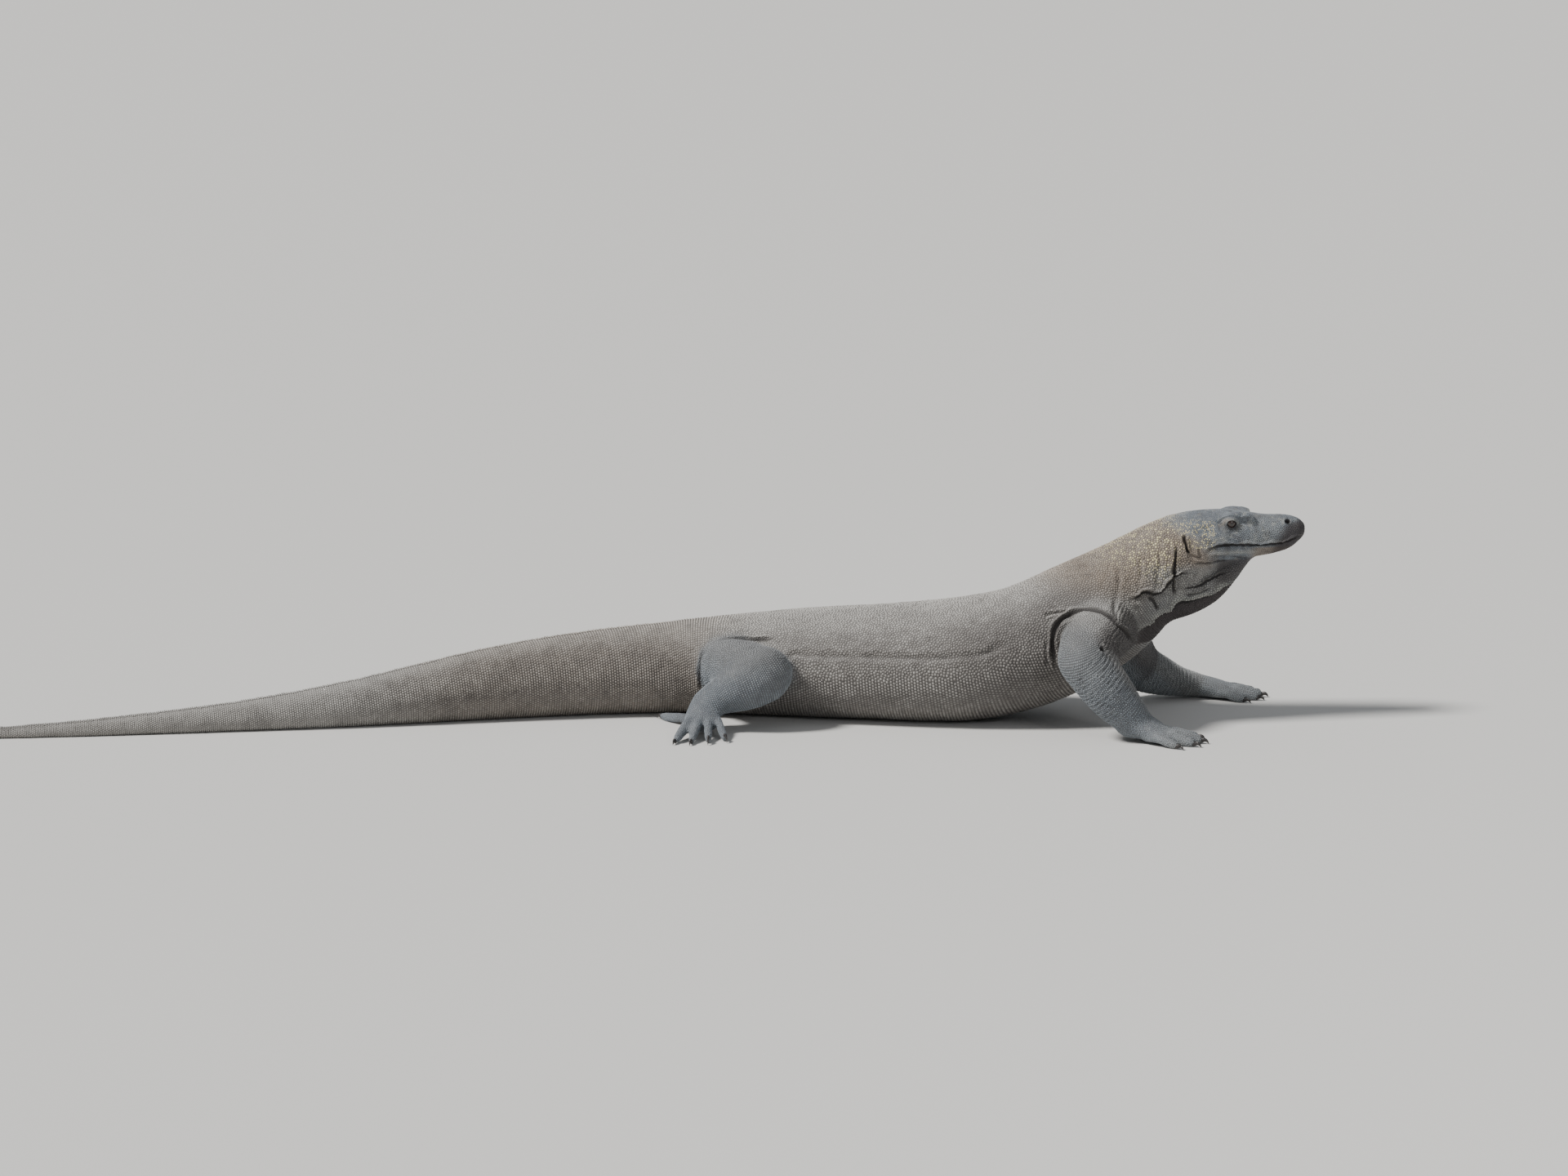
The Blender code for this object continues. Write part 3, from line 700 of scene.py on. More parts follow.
draw = np.random.default_rng(7)
mesh = hide.data
points = points_of(mesh)
normals = normals_of(mesh)
tree, corners = tree_of(mesh)
owner = owners_of(points)
kind = np.array([part_of(name) for name in owner])
kind[np.isin(owner, ("neck", "throat_pouch"))] = "neck"
ring = Ring(mesh)
for key in shades:
    shades[key] = rows_of(mesh.attributes[key].data, "value", 1)[:, 0]
hollow = shades["hollow"]
ahead, up, aside = in_head(points)
kind[(kind == "neck") & (ahead > JAW_CORNER[0]) & (up > JAW_CORNER[1])] = "head"
mid_height = np.interp(points[:, 0], spine[:, 0], spine[:, 2])
flank = ease(*BELLY_LINE, points[:, 2] - mid_height)
tail_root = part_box("tail_base")[1].x
tail_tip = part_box("tail_end")[0].x
along_tail = ease(0, 1, (tail_root - points[:, 0]) / (tail_root - tail_tip))
on_trunk = PITCH["belly"] + (PITCH["back"] - PITCH["belly"]) * flank
on_tail = PITCH["tail"] + (PITCH["tail_tip"] - PITCH["tail"]) * along_tail
in_tail = ease(tail_root + TAIL_BLEND, tail_root - TAIL_BLEND, points[:, 0])
pitch = np.array([PITCH.get(k, 0.0) for k in kind])
pitch = np.where(kind == "body", on_trunk + (on_tail - on_trunk) * in_tail, pitch)
pitch = ring.soften(pitch, PITCH_PASSES)
from_eyes = [np.linalg.norm(points - np.array(centre), axis=1) for centre in eye_centres.values()]
pitch = pitch + (PITCH["lid"] - pitch) * ease(*LID_SCALES, np.min(from_eyes, axis=0))
pitch *= 1 - IN_CREASE * np.minimum(hollow, 1)

# Markings of the hide: how much of each tint there is at its points. The skin and the scales share them.
# Slate on face and feet, tan flecks on temple and nape, a dark nose, painted shadow under jaw and throat,
# pale lids and lips.
# The places on the head lie ahead of, up from and aside from the middle between the eyes. A row of four is
# where a marking starts, is full, is full to the last, and ends.
LEGS = (("upper_arm_", "forearm_", "hand_", 0.05), ("thigh_", "shin_", "foot_", 0.15))
MOST_SLATE = 0.90
LEG_PASSES = 26
TEMPLE = ((-0.084, -0.074, -0.034, -0.020), (-0.044, -0.034, -0.006, 0.008))
LORES = ((0.010, 0.030, 0.070, 0.085), (-0.0335, -0.0305, -0.0270, -0.0235))
NAPE = (-0.300, -0.165, -0.095, -0.070)
LIP = (-0.036, -0.020, 0.030, 0.050)
SNOUT_SIDE = (0.025, 0.045, 0.070, 0.085)
LID_SPREAD = 0.0118
OFF_CREST = 0.012
SHOULDER_PASSES = 8
TUCKED_PASSES = 5
limb_slate = np.zeros(len(points))
shoulder = np.zeros(len(points))
for side in side_of:
    low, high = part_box("upper_arm_" + side)
    arm_ahead = points[:, 0] - (low.x + high.x) / 2
    arm_up = points[:, 2] - high.z + LOOK_DOWN * (SHOULDER_OUT - np.abs(points[:, 1]))
    own = np.isin(owner, ("upper_arm_" + side, "forearm_" + side))
    share = ease(-0.010, 0.012, arm_up + 0.036 + 1.4 * np.maximum(0, arm_ahead + 0.012))
    shoulder = np.where(own, share, shoulder)
    for upper, lower, paw, least in LEGS:
        own = np.isin(owner, (upper + side, lower + side, paw + side))
        share = ease(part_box(upper + side)[1].z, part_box(paw + side)[1].z, points[:, 2])
        limb_slate = np.where(own, least + (MOST_SLATE - least) * share, limb_slate)
shoulder = ring.soften(shoulder, SHOULDER_PASSES)
limb_slate = ring.soften(limb_slate, LEG_PASSES) * (1 - 0.75 * shoulder)
limb_shade = ring.soften(np.isin(kind, ("limb", "paw")).astype(float), LEG_PASSES) * (1 - 0.60 * shoulder)
facing_up = normals[:, 2]
slate_edge = -0.086 + 1.45 * np.clip(-up - 0.004, 0, 0.040)
slate_edge += 0.006 * np.sin(aside / 0.0085 + 0.6) + 0.004 * np.sin(aside / 0.0037 + up / 0.006)
on_head = ease(-0.028, 0.028, ahead - slate_edge) * ease(-0.13, -0.10, ahead)
throat = ease(-0.055, -0.075, up) * ease(-0.16, -0.09, ahead)
slate = np.max([limb_slate, on_head * (1 - 0.45 * throat), 0.5 * throat], axis=0)

lower_lip = ease(-0.036, -0.041, up) * ease(0.022, 0.045, ahead) * (kind == "head")
neck_side = ease(-0.44, -0.24, ahead) * (1 - on_head) * ease(-0.135, -0.085, up + 0.10 * (ahead + 0.1))
tail_side = in_tail * ease(-0.85, -0.60, points[:, 0]) * (kind == "body")
warm = np.max([neck_side, lower_lip, 0.40 * tail_side], axis=0)
slate *= 1 - 0.85 * lower_lip
nape = between(ahead, *NAPE) * ease(-0.100, -0.050, up + 0.34 * (ahead + 0.13))
temple = between(ahead, *TEMPLE[0]) * between(up, *TEMPLE[1])
fleck = np.maximum(nape, 1.8 * temple) * (1 - 0.35 * ease(0.70, 1.0, facing_up))

nose = ease(0.078, 0.098, ahead - 0.5 * up) * ease(0.002, -0.010, up - 0.25 * (ahead - 0.086))
# Painted shadow under the lower jaw and below the throat's ridge; the nose's dark is its own colour.
jaw_under_shade = ease(-0.0545, -0.0600, up) * ease(-0.032, -0.012, ahead) * (1 - shades["crest"])
dark = np.max([0.85 * nose, 0.75 * jaw_under_shade, 0.9 * shades["under"]], axis=0)
dark *= ease(-0.168, -0.130, ahead) * (up > -0.20) * np.isin(kind, ("head", "neck"))
# Painted shade on the up-facing tops of the head, legs and feet.
crown = on_head * ease(0.50, 0.90, facing_up)
limb_top_shade = limb_shade * ease(0.35, 0.85, facing_up)
# Painted shade, with dirt, on the front of the upper arms where they tuck against the neck.
tucked_shade_and_dirt = ring.soften(ease(0.10, 0.75, normals[:, 0]) * np.char.startswith(owner, "upper_arm"), TUCKED_PASSES)
off_middle = np.abs(points[:, 1] - np.interp(points[:, 0], spine[:, 0], spine[:, 1]))
keel = ease(KEEL_REACH, 0.002, off_middle) * ease(0.3, 0.8, facing_up)
keel *= ease(tail_root - 0.05, tail_root - 0.40, points[:, 0])
# Painted shade in a band along the lower side of the tail, where its muscles meet.
tail_side_shade = bump(points[:, 2] - mid_height, -0.010, 0.009) * ease(-0.85, -0.70, points[:, 0])
tail_side_shade *= ease(tail_root, tail_root - 0.15, points[:, 0])
saddle = bump(ahead, -0.335, 0.085) * np.isin(kind, ("body", "neck")) * ease(0.95, 0.6, facing_up)
dark = np.max([dark, 0.20 * crown, 0.20 * limb_top_shade, 0.62 * tucked_shade_and_dirt, 0.35 * keel, 0.22 * tail_side_shade,
               0.36 * saddle], axis=0)

from_eye = np.hypot(ahead, 1.2 * (up + 0.0040)) / LID_SPREAD
on_side = np.abs(aside) > OFF_CREST
lid_ring = bump(from_eye, 1, 0.22) * on_side
eyelid = bump(from_eye, 1, 0.30) * ease(0.004, -0.004, ahead) * on_side
lip = bump(up, -0.0455, 0.0032) * between(ahead, *LIP)
lores = between(ahead, *LORES[0]) * between(up, *LORES[1])
cheek = bump(ahead, -0.012, 0.007) * bump(up, -0.0235, 0.0055)
snout_side = between(ahead, *SNOUT_SIDE) * ease(-0.030, -0.020, up)
# Painted light over the shade at the foot of the neck and on the throat; lids, lips and cheeks are pale in
# their own colour.
neck_foot_light = bump(ahead, -0.163, 0.026) * bump(up, -0.136, 0.024) * (1 - hollow)
throat_light = throat * (1 - shades["under"]) * (1 - hollow)
pale = np.max([0.60 * lid_ring, 0.50 * lip, 0.35 * cheek, 0.30 * lores, 0.16 * snout_side,
               0.34 * neck_foot_light, 0.20 * throat_light, 0.85 * shades["crest"]], axis=0)
warm = np.maximum(warm, 0.95 * eyelid)
slate *= 1 - 0.75 * eyelid
pale *= 1 - 0.6 * eyelid
# Paler where the hide faces up, with dust and a painted top light, and paler toward the end of the tail.
worn = ease(0.50, 1.00, facing_up) * (1 - 0.8 * on_head) * (1 - 0.6 * (kind == "paw"))
worn += 1.1 * ease(tail_root - 0.20, tail_root - 0.75, points[:, 0])
tints = {"slate": slate, "limb": limb_shade, "warm": warm, "fleck": fleck, "dark": dark, "pale": pale,
         "worn": worn}
note(mesh, tints)
tints["hollow"] = hollow


def shares_in(spots, faces):
    """How much of each corner of its face a spot takes."""
    a, b, c = (points[corners[faces, i]] for i in range(3))
    normal = np.cross(b - a, c - a)
    area = np.maximum((normal * normal).sum(1), TINY)
    u = (np.cross(c - b, spots - b) * normal).sum(1) / area
    v = (np.cross(a - c, spots - c) * normal).sum(1) / area
    return np.clip(np.stack([u, v, 1 - u - v], 1), 0, 1)


def hoops(path, allowed):
    """Spots for hoops of scales round a path, each hoop turned by half a scale from the last."""
    _, run = lengths_along(path)
    found = []
    at, turned = 0.0, 0
    while at < run[-1]:
        before, middle, after = (
            np.array([np.interp(np.clip(at + step, 0, run[-1]), run, path[:, i]) for i in range(3)])
            for step in (-LOOK_ALONG, 0, LOOK_ALONG)
        )
        along = Vector(after - before).normalized()
        side = along.cross(UP).normalized()
        top = side.cross(along)
        middle = Vector(middle)
        angles = np.linspace(0, 2 * math.pi, HOOP_RAYS, endpoint=False) - math.pi / 2
        hits = [tree.ray_cast(middle, side * math.cos(a) + top * math.sin(a)) for a in angles]
        good = [i for i, hit in enumerate(hits) if hit[0] is not None]
        if len(good) < HOOP_RAYS // 2:
            at += MISSED_STEP
            continue
        loop = np.array([hits[i][0] for i in good])
        reach = np.linalg.norm(loop - np.roll(loop, -1, axis=0), axis=1)
        length = np.concatenate([[0], np.cumsum(reach)])
        wide = float(np.percentile(pitch[corners[[hits[i][2] for i in good]][:, 0]], HOOP_SHARE))
        number = max(FEWEST_IN_HOOP, round(length[-1] / wide))
        wanted = (np.arange(number) + 0.5 * (turned % 2)) / number * length[-1]
        for a in np.interp(wanted, length, np.append(angles[good], angles[good][0] + 2 * math.pi)):
            spot, _, face, _ = tree.ray_cast(middle, side * math.cos(a) + top * math.sin(a))
            if spot is None:
                continue
            first = corners[face][0]
            if kind[first] in allowed and rows_show[first] > draw.random():
                found.append((spot, face, -along))
        at += wide * ROW_STEP
        turned += 1
    return found


rows_show = np.maximum(1 - flank, in_tail)
rows_show[kind != "body"] = 1
rows_show[np.array([name.startswith(("upper_arm", "thigh")) for name in owner])] = 0
rows_show[kind == "neck"] = (1 - flank)[kind == "neck"]
rows_show *= hollow < ROWS_END
found = hoops(spine, ("body", "neck"))
for line in leg_lines:
    found += hoops(line, ("limb",))
spots, faces, grain = zip(*found)

# Strays: more spots than are needed, thinned out to a scale's width apart and shoved into even gaps.
# They cover the head, the paws and the creases, and whatever the hoops leave bare.
a, b, c = (points[corners[:, i]] for i in range(3))
area = np.linalg.norm(np.cross(b - a, c - a), axis=1) / 2
face_pitch = pitch[corners].mean(1)
wanted = area / face_pitch**2
number = int(wanted.sum() * STRAYS_TRIED)
picked = draw.choice(len(corners), number, p=wanted / wanted.sum())
u, v = np.sqrt(draw.random(number)), draw.random(number)
stray = a[picked] * (1 - u)[:, None] + b[picked] * (u * (1 - v))[:, None] + c[picked] * (u * v)[:, None]
all_spots = np.concatenate([np.array(spots), stray])
all_faces = np.concatenate([np.array(faces), picked]).astype(int)
in_hoop = len(spots)
all_pitch = pitch[corners[all_faces]].mean(1)
crowd = spots_tree(all_spots.tolist())
alive = np.ones(len(all_spots), bool)
reach = all_pitch * np.where(np.arange(len(all_spots)) < in_hoop, NEAREST_SCALE, NEAREST_STRAY)
kept = []
for i, spot in enumerate(all_spots.tolist()):
    if alive[i]:
        kept.append(i)
        for _, other, distance in crowd.find_range(spot, reach[i] / NEAREST_SCALE * NEAREST_STRAY):
            if other >= in_hoop or distance < reach[i]:
                alive[other] = False
kept = np.array(kept)
in_hoop = int((kept < in_hoop).sum())
scale_spot = all_spots[kept]
scale_face = all_faces[kept]
scale_pitch = all_pitch[kept]


def neighbours(number):
    """The nearest scales to each scale."""
    spots = scale_spot.tolist()
    near = spots_tree(spots)
    return np.array([[found[1] for found in near.find_n(spot, number + 1)][1:] for spot in spots])


for _ in range(SETTLED):
    offset = scale_spot[:, None] - scale_spot[neighbours(SETTLED_BY)]
    distance = np.maximum(np.linalg.norm(offset, axis=2), SAME_PLACE)
    push = np.clip(scale_pitch[:, None] * SETTLED_APART - distance, 0, None) / distance
    wanted = scale_spot + SHOVE * (offset * push[..., None]).sum(1)
    for i in range(in_hoop, len(kept)):
        spot, _, face, _ = tree.find_nearest(wanted[i])
        scale_spot[i], scale_face[i] = spot, face
scale_pitch[in_hoop:] = pitch[corners[scale_face[in_hoop:]]].mean(1)
share = shares_in(scale_spot, scale_face)


def at_scales(values):
    """Values of the hide's points, read at each scale's root."""
    rows = values.reshape(len(values), -1)
    return (rows[corners[scale_face]] * share[..., None]).sum(1).reshape(-1, *values.shape[1:])


scale_normal = at_scales(normals)
scale_normal /= np.linalg.norm(scale_normal, axis=1)[:, None]
scale_kind = kind[corners[scale_face, 0]]
backward = np.tile(-np.array(forward), (len(kept), 1))
backward[:in_hoop] = np.array(grain)[kept[:in_hoop]]
rows = spots_tree(scale_spot[:in_hoop].tolist())
for i in range(in_hoop, len(kept)):
    if scale_kind[i] != "head":
        backward[i] = backward[rows.find(scale_spot[i])[1]]
backward -= scale_normal * (backward * scale_normal).sum(1)[:, None]
backward /= np.maximum(np.linalg.norm(backward, axis=1), TINY)[:, None]
sideways = np.cross(scale_normal, backward)

# Each scale's outline: in six directions, halfway to whichever neighbour is in the way. Its height goes by
# the part of the body that it covers, a little uneven, lower in the creases and taller along the tail's top.
NEIGHBOURS = 8
WIDEST = 0.74
GROUT = 0.97
ROW_GAP = 0.17  # how much shorter than their room the scales of a hoop are
SCALE_SIDES = 6
SCALE_ROOT = 0.0003
SCALE_HEIGHT = {"body": 0.25, "neck": 0.25, "head": 0.17, "limb": 0.24, "paw": 0.20}
UNEVEN_HEIGHT = (0.8, 1.2)
KEEL = 2.2  # how much taller the scales along the top of the tail stand
offset = scale_spot[neighbours(NEIGHBOURS)] - scale_spot[:, None]
flat = np.stack([(offset * sideways[:, None]).sum(2), (offset * backward[:, None]).sum(2)], 2)
squared = (flat * flat).sum(2)
corner_turn = math.pi / 6 + np.arange(SCALE_SIDES) * math.pi / 3
corner = np.stack([np.cos(corner_turn), np.sin(corner_turn)], 1)
toward = flat @ corner.T
room = squared[..., None] / (2 * np.maximum(toward, SAME_PLACE))
room = np.where(toward > SAME_PLACE, room, 1.0).min(1)
outline = np.minimum(room, WIDEST * scale_pitch[:, None]) * GROUT
outline[:in_hoop] *= 1 - ROW_GAP * np.abs(np.sin(corner_turn))
height = scale_pitch * np.array([SCALE_HEIGHT.get(k, SCALE_HEIGHT["body"]) for k in scale_kind])
height *= draw.uniform(*UNEVEN_HEIGHT, len(kept)) * (1 - 0.5 * np.minimum(at_scales(hollow), 1))
off_middle = np.abs(scale_spot[:, 1] - np.interp(scale_spot[:, 0], spine[:, 0], spine[:, 1]))
on_keel = (off_middle < KEEL_REACH) & (scale_normal[:, 2] > 0.5) & (scale_kind == "body")
height *= 1 + (KEEL - 1) * on_keel * ease(tail_root, tail_root - 0.15, scale_spot[:, 0])

# The scales of one stretch of the hide are run together in one piece, each with the tints of the hide at its
# root and a tone of its own. Their OFBake map is laid on a small patch of the hide's own map round that
# root.
PER_PIECE = 13500
SCALE_TOP = 0.56
LEAN = 0.06
SCALES_OFF_FLOOR = 0.0003
PATCH = 0.003
UNFOLD_ANGLE = math.radians(66)
UNFOLD_MARGIN = 0.0008
on_scale = {key: at_scales(values) for key, values in tints.items()}
on_scale["tone"] = draw.random(len(kept))
coats = []


def stretch_of(sort, spot):
    """The stretch of the hide that a scale belongs to."""
    if sort in ("head", "body", "neck"):
        return "head" if sort == "head" else "body"
    return ("foreleg_" if spot[0] > 0 else "hindleg_") + ("left" if spot[1] > 0 else "right")


def scales_piece(name, chosen):
    """One piece of the coat: a six-sided bead with a three-sided crown at each chosen spot."""
    number, per = len(chosen), SCALE_SIDES + 3
    spot, normal = scale_spot[chosen][:, None], scale_normal[chosen][:, None]
    side, rear = sideways[chosen][:, None], backward[chosen][:, None]
    order = ((np.arange(SCALE_SIDES) + (chosen % 2)[:, None]) % SCALE_SIDES)[..., None]
    edge = np.take_along_axis(outline[chosen][..., None] * corner, order, 1)
    base = spot + side * edge[..., :1] + rear * edge[..., 1:] - normal * SCALE_ROOT
    crown = edge[:, ::2] * SCALE_TOP
    top = spot + side * crown[..., :1] + rear * (crown[..., 1:] + LEAN * scale_pitch[chosen][:, None, None])
    cloud = np.concatenate([base, top + normal * height[chosen][:, None, None]], 1)
    cloud[..., 2] = np.maximum(cloud[..., 2], SCALES_OFF_FLOOR)
    walls = []
    for k in range(3):
        first, middle, last = 2 * k, 2 * k + 1, (2 * k + 2) % SCALE_SIDES
        own, after = SCALE_SIDES + k, SCALE_SIDES + (k + 1) % 3
        walls += [first, middle, own, middle, after, own, middle, last, after]
    loops = np.concatenate([np.arange(SCALE_SIDES)[::-1], walls, np.arange(SCALE_SIDES, per)])
    loops = (loops[None] + per * np.arange(number)[:, None]).ravel()
    sizes = np.tile([SCALE_SIDES] + [3] * 10, number)
    mesh = bpy.data.meshes.new(name)
    mesh.vertices.add(number * per)
    mesh.vertices.foreach_set("co", cloud.astype(np.float32).ravel())
    mesh.loops.add(len(loops))
    mesh.loops.foreach_set("vertex_index", loops.astype(np.int32))
    mesh.polygons.add(len(sizes))
    mesh.polygons.foreach_set("loop_start", np.concatenate([[0], np.cumsum(sizes)[:-1]]).astype(np.int32))
    mesh.update(calc_edges=True)
    mesh.shade_smooth()
    unit = np.take_along_axis(np.broadcast_to(corner, (number, SCALE_SIDES, 2)), order, 1)
    unit = np.concatenate([unit, unit[:, ::2] * SCALE_TOP], 1) * PATCH / 2
    spread = (root_uv[chosen][:, None] + unit).reshape(-1, 2)
    mesh.uv_layers.new(name="OFBake").data.foreach_set("uv", spread[loops].astype(np.float32).ravel())
    note(mesh, {key: np.repeat(values[chosen], per) for key, values in on_scale.items()})
    note(mesh, {"rise": np.tile(np.repeat([0.0, 1.0], (SCALE_SIDES, 3)), number)})
    piece = new_piece(name, mesh)
    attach(piece, "root")
    coats.append(piece)
    return piece


bpy.context.view_layer.objects.active = hide
hide.select_set(True)
hide.data.uv_layers.new(name="OFBake")
bpy.ops.object.mode_set(mode="EDIT")
bpy.ops.mesh.select_all(action="SELECT")
bpy.ops.uv.smart_project(angle_limit=UNFOLD_ANGLE, island_margin=UNFOLD_MARGIN)
bpy.ops.object.mode_set(mode="OBJECT")
hide.data.calc_loop_triangles()
uv = rows_of(hide.data.uv_layers["OFBake"].data, "uv", 2)
loops_of = rows_of(hide.data.loop_triangles, "loops", 3, np.int32)
root_uv = (uv[loops_of[scale_face]] * share[..., None]).sum(1)
group = np.array([stretch_of(sort, spot) for sort, spot in zip(scale_kind, scale_spot)])
for name in sorted(set(group)):
    chosen = np.nonzero(group == name)[0]
    chosen = chosen[np.argsort(scale_spot[chosen, 0], kind="stable")]
    for number, part in enumerate(np.array_split(chosen, math.ceil(len(chosen) / PER_PIECE))):
        scales_piece(f"scales_{name}_{number + 1}", part)


# The paint of the hide and scales: matt, dusty and mottled, laid on by the tints that the points carry.
# Each scale has its own tone and painted shade at its root; the hide between has painted shade, and fine
# pits cover it all.
class Paint:
    """A value in a material's nodes. Sums on it add the Math nodes."""

    def __init__(self, tree, socket=None):
        self.tree, self.socket = tree, socket

    def feed(self, node, inputs):
        """Links a node's sockets to values, or sets them."""
        for key, value in inputs.items():
            if isinstance(value, Paint):
                self.tree.links.new(value.socket, node.inputs[key])
            else:
                node.inputs[key].default_value = value

    def node(self, kind, settings, inputs, out=0):
        made = self.tree.nodes.new("ShaderNode" + kind)
        for key, value in settings.items():
            setattr(made, key, value)
        self.feed(made, inputs)
        return Paint(self.tree, made.outputs[out])

    def sum(self, operation, first, second):
        return self.node("Math", {"operation": operation}, {0: first, 1: second})

    def __add__(self, other):
        return self.sum("ADD", self, other)

    def __rsub__(self, other):
        return self.sum("SUBTRACT", other, self)

    def __mul__(self, other):
        return self.sum("MULTIPLY", self, other)

    __radd__, __rmul__ = __add__, __mul__

    def step(self, low, high):
        return self.node("MapRange", {"interpolation_type": "SMOOTHSTEP"}, {0: self, 1: low, 2: high})

    def read(self, name):
        return self.node("Attribute", {"attribute_name": name}, {}, 2)

    def blend(self, first, second, factor):
        return self.node("Mix", {"data_type": "RGBA"}, {0: factor, 6: first, 7: second}, 2)

    def grain(self, scale, detail=2.0):
        inputs = {"Vector": self, "Scale": scale, "Detail": detail, "Roughness": 0.55}
        return self.node("TexNoise", {}, inputs)

    def relief(self, strength, distance):
        return self.node("Bump", {}, {"Strength": strength, "Distance": distance, "Height": self})


def new_paint(name):
    """A new material with its shader, and the start and the place of its nodes."""
    material = bpy.data.materials.new(name)
    material.use_nodes = True
    start = Paint(material.node_tree)
    return material, material.node_tree.nodes["Principled BSDF"], start, start.node("TexCoord", {}, {}, 3)


def linear(*seen):
    """A colour given as it looks, 0 to 255, in the shader's own measure."""
    return (*(c / 3294.6 if c < 10.3 else ((c / 255 + 0.055) / 1.055) ** 2.4 for c in seen), 1)


TINTS = {
    "trunk": linear(126, 122, 118),
    "trunk_worn": linear(178, 175, 170),
    "slate": linear(114, 122, 130),
    "slate_worn": linear(162, 169, 175),
    "limb": linear(116, 117, 116),
    "limb_worn": linear(140, 141, 141),
    "tan": linear(214, 203, 162),
    "neck": linear(150, 133, 114),
    "dark": linear(50, 42, 42),
    "pale": linear(190, 190, 182),
    "crevice": linear(42, 38, 37),
}


def painted(name, is_scale):
    """Hide paint: slate on the head and legs, dusty brown on the trunk, tan flecks on the neck."""
    material, shader, start, place = new_paint(name)
    slate, limb, warm, flecks, dark, pale, worn, crease_shade = (start.read(key) for key in tints)
    cloud = place.grain(48.0, 3.0)
    fleck = start.read("tone") if is_scale else place.grain(260.0)
    # Dust and painted top light, mottled with noise, blend each base colour toward its paler copy.
    dusty_and_lit = (place.grain(9.0, 3.0) * 0.55 + cloud * 0.45 + fleck * 0.32 + worn * 0.40).step(0.48, 1.22)
    plain = ("trunk", "limb", "slate")
    trunk, leg, blue = (start.blend(TINTS[key], TINTS[key + "_worn"], dusty_and_lit) for key in plain)
    blotch = place.grain(85.0).step(0.50, 0.66)
    patch = place.grain(19.0, 3.0).step(0.50, 0.72)
    frost = place.grain(120.0).step(0.52, 0.70)
    colour = start.blend(trunk, leg, limb)
    for tint, share in (
        (TINTS["neck"], warm * (0.35 + 0.5 * cloud)),
        (blue, slate),
        (TINTS["tan"], flecks * (fleck * 0.50 + 0.475).step(0.74, 0.93)),
        (TINTS["dark"], blotch * (0.09 + 0.28 * slate * (1 - 0.9 * limb) + 0.20 * warm)),
        (TINTS["dark"], patch * 0.20),
        (TINTS["pale"], frost * (0.06 + 0.34 * slate * (1 - 0.9 * limb))),
        (TINTS["pale"], pale * (0.5 + 0.8 * cloud)),
        (TINTS["dark"], dark),
        # Painted shade: each scale darkens toward its root, the hide seen between the scales is darker, and
        # so are the creases.
        (TINTS["crevice"], 1 - start.read("rise").step(-0.55, 0.70) if is_scale else 0.60),
        (TINTS["crevice"], crease_shade.step(0.12, 1.0) * 0.88),
    ):
        colour = start.blend(colour, tint, share)
    pits = place.grain(700.0, 3.0).relief(0.20, 0.0006)
    start.feed(shader, {"Base Color": colour, "Roughness": 0.60 + cloud * 0.16, "Normal": pits})
    return material


hide.data.materials.clear()
hide.data.materials.append(painted("hide_paint", False))
scale_paint = painted("scale_paint", True)
for piece in coats:
    piece.data.materials.append(scale_paint)

# The eyes: glass balls with a raised cornea, a round pupil and a dark brown iris, set in from behind.
# Each fills the socket that its lids were drawn round.
PUPIL = math.radians(13)
IRIS = math.radians(34)
CORNEA_RISE = 0.0006
eye_glass, shader, start, place = new_paint("eye_glass")
turn = start.read("turn")
iris = start.blend(linear(30, 19, 15), linear(52, 34, 24), place.grain(900.0))
colour = start.blend(iris, linear(16, 12, 12), turn.step(IRIS * 0.82, IRIS * 1.02))
colour = start.blend(linear(5, 4, 4), colour, turn.step(PUPIL * 0.92, PUPIL * 1.08))
start.feed(shader, {"Base Color": colour, "Roughness": 0.07, "Coat Weight": 0.6, "Coat Roughness": 0.03})
for name in EYES:
    gaze = gaze_of(name.split("_")[1])
    ball = bmesh.new()
    bmesh.ops.create_uvsphere(ball, u_segments=40, v_segments=28, radius=eye_radius)
    bmesh.ops.rotate(ball, verts=ball.verts, matrix=gaze.to_track_quat("Z", "Y").to_matrix())
    turns = [v.co.angle(gaze) for v in ball.verts]
    for v, turn in zip(ball.verts, turns):
        v.co *= 1 + CORNEA_RISE / eye_radius * max(0.0, 1 - (turn / IRIS) ** 2)
    bmesh.ops.translate(ball, verts=ball.verts, vec=eye_centres[name])
    eye = new_piece("glass_" + name, cast(name, ball))
    note(eye.data, {"turn": np.array(turns)})
    eye.data.shade_smooth()
    eye.data.materials.append(eye_glass)
    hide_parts(name)
    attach(eye, "root")

# The claws: hooked blades of dark horn, deeper than they are wide, each let into the end of its digit.
# A paw's claws are cast as one set, each swept along a bent line from a broad root to a point on the floor.
CLAW_SIDES = 12
CLAW_RINGS = 10
CLAW_WIDTH = 0.70
CLAW_LET_IN = 0.005
CLAW_RADIUS = 0.0036
CLAW_TIP = 0.08
CLAW_LONGER = 0.18
CLAW_TIP_HEIGHT = 0.0008
CLAW_REACH = 0.62
CLAW_ARCH = 0.0022
CLAW_ENDS = (0.62, 0.25)  # shares of a claw's length from its point: its root lies beyond, its tip within
CLAW_SLIMS = (1.5, 0.8)
CLAWS_OFF_FLOOR = 0.0002


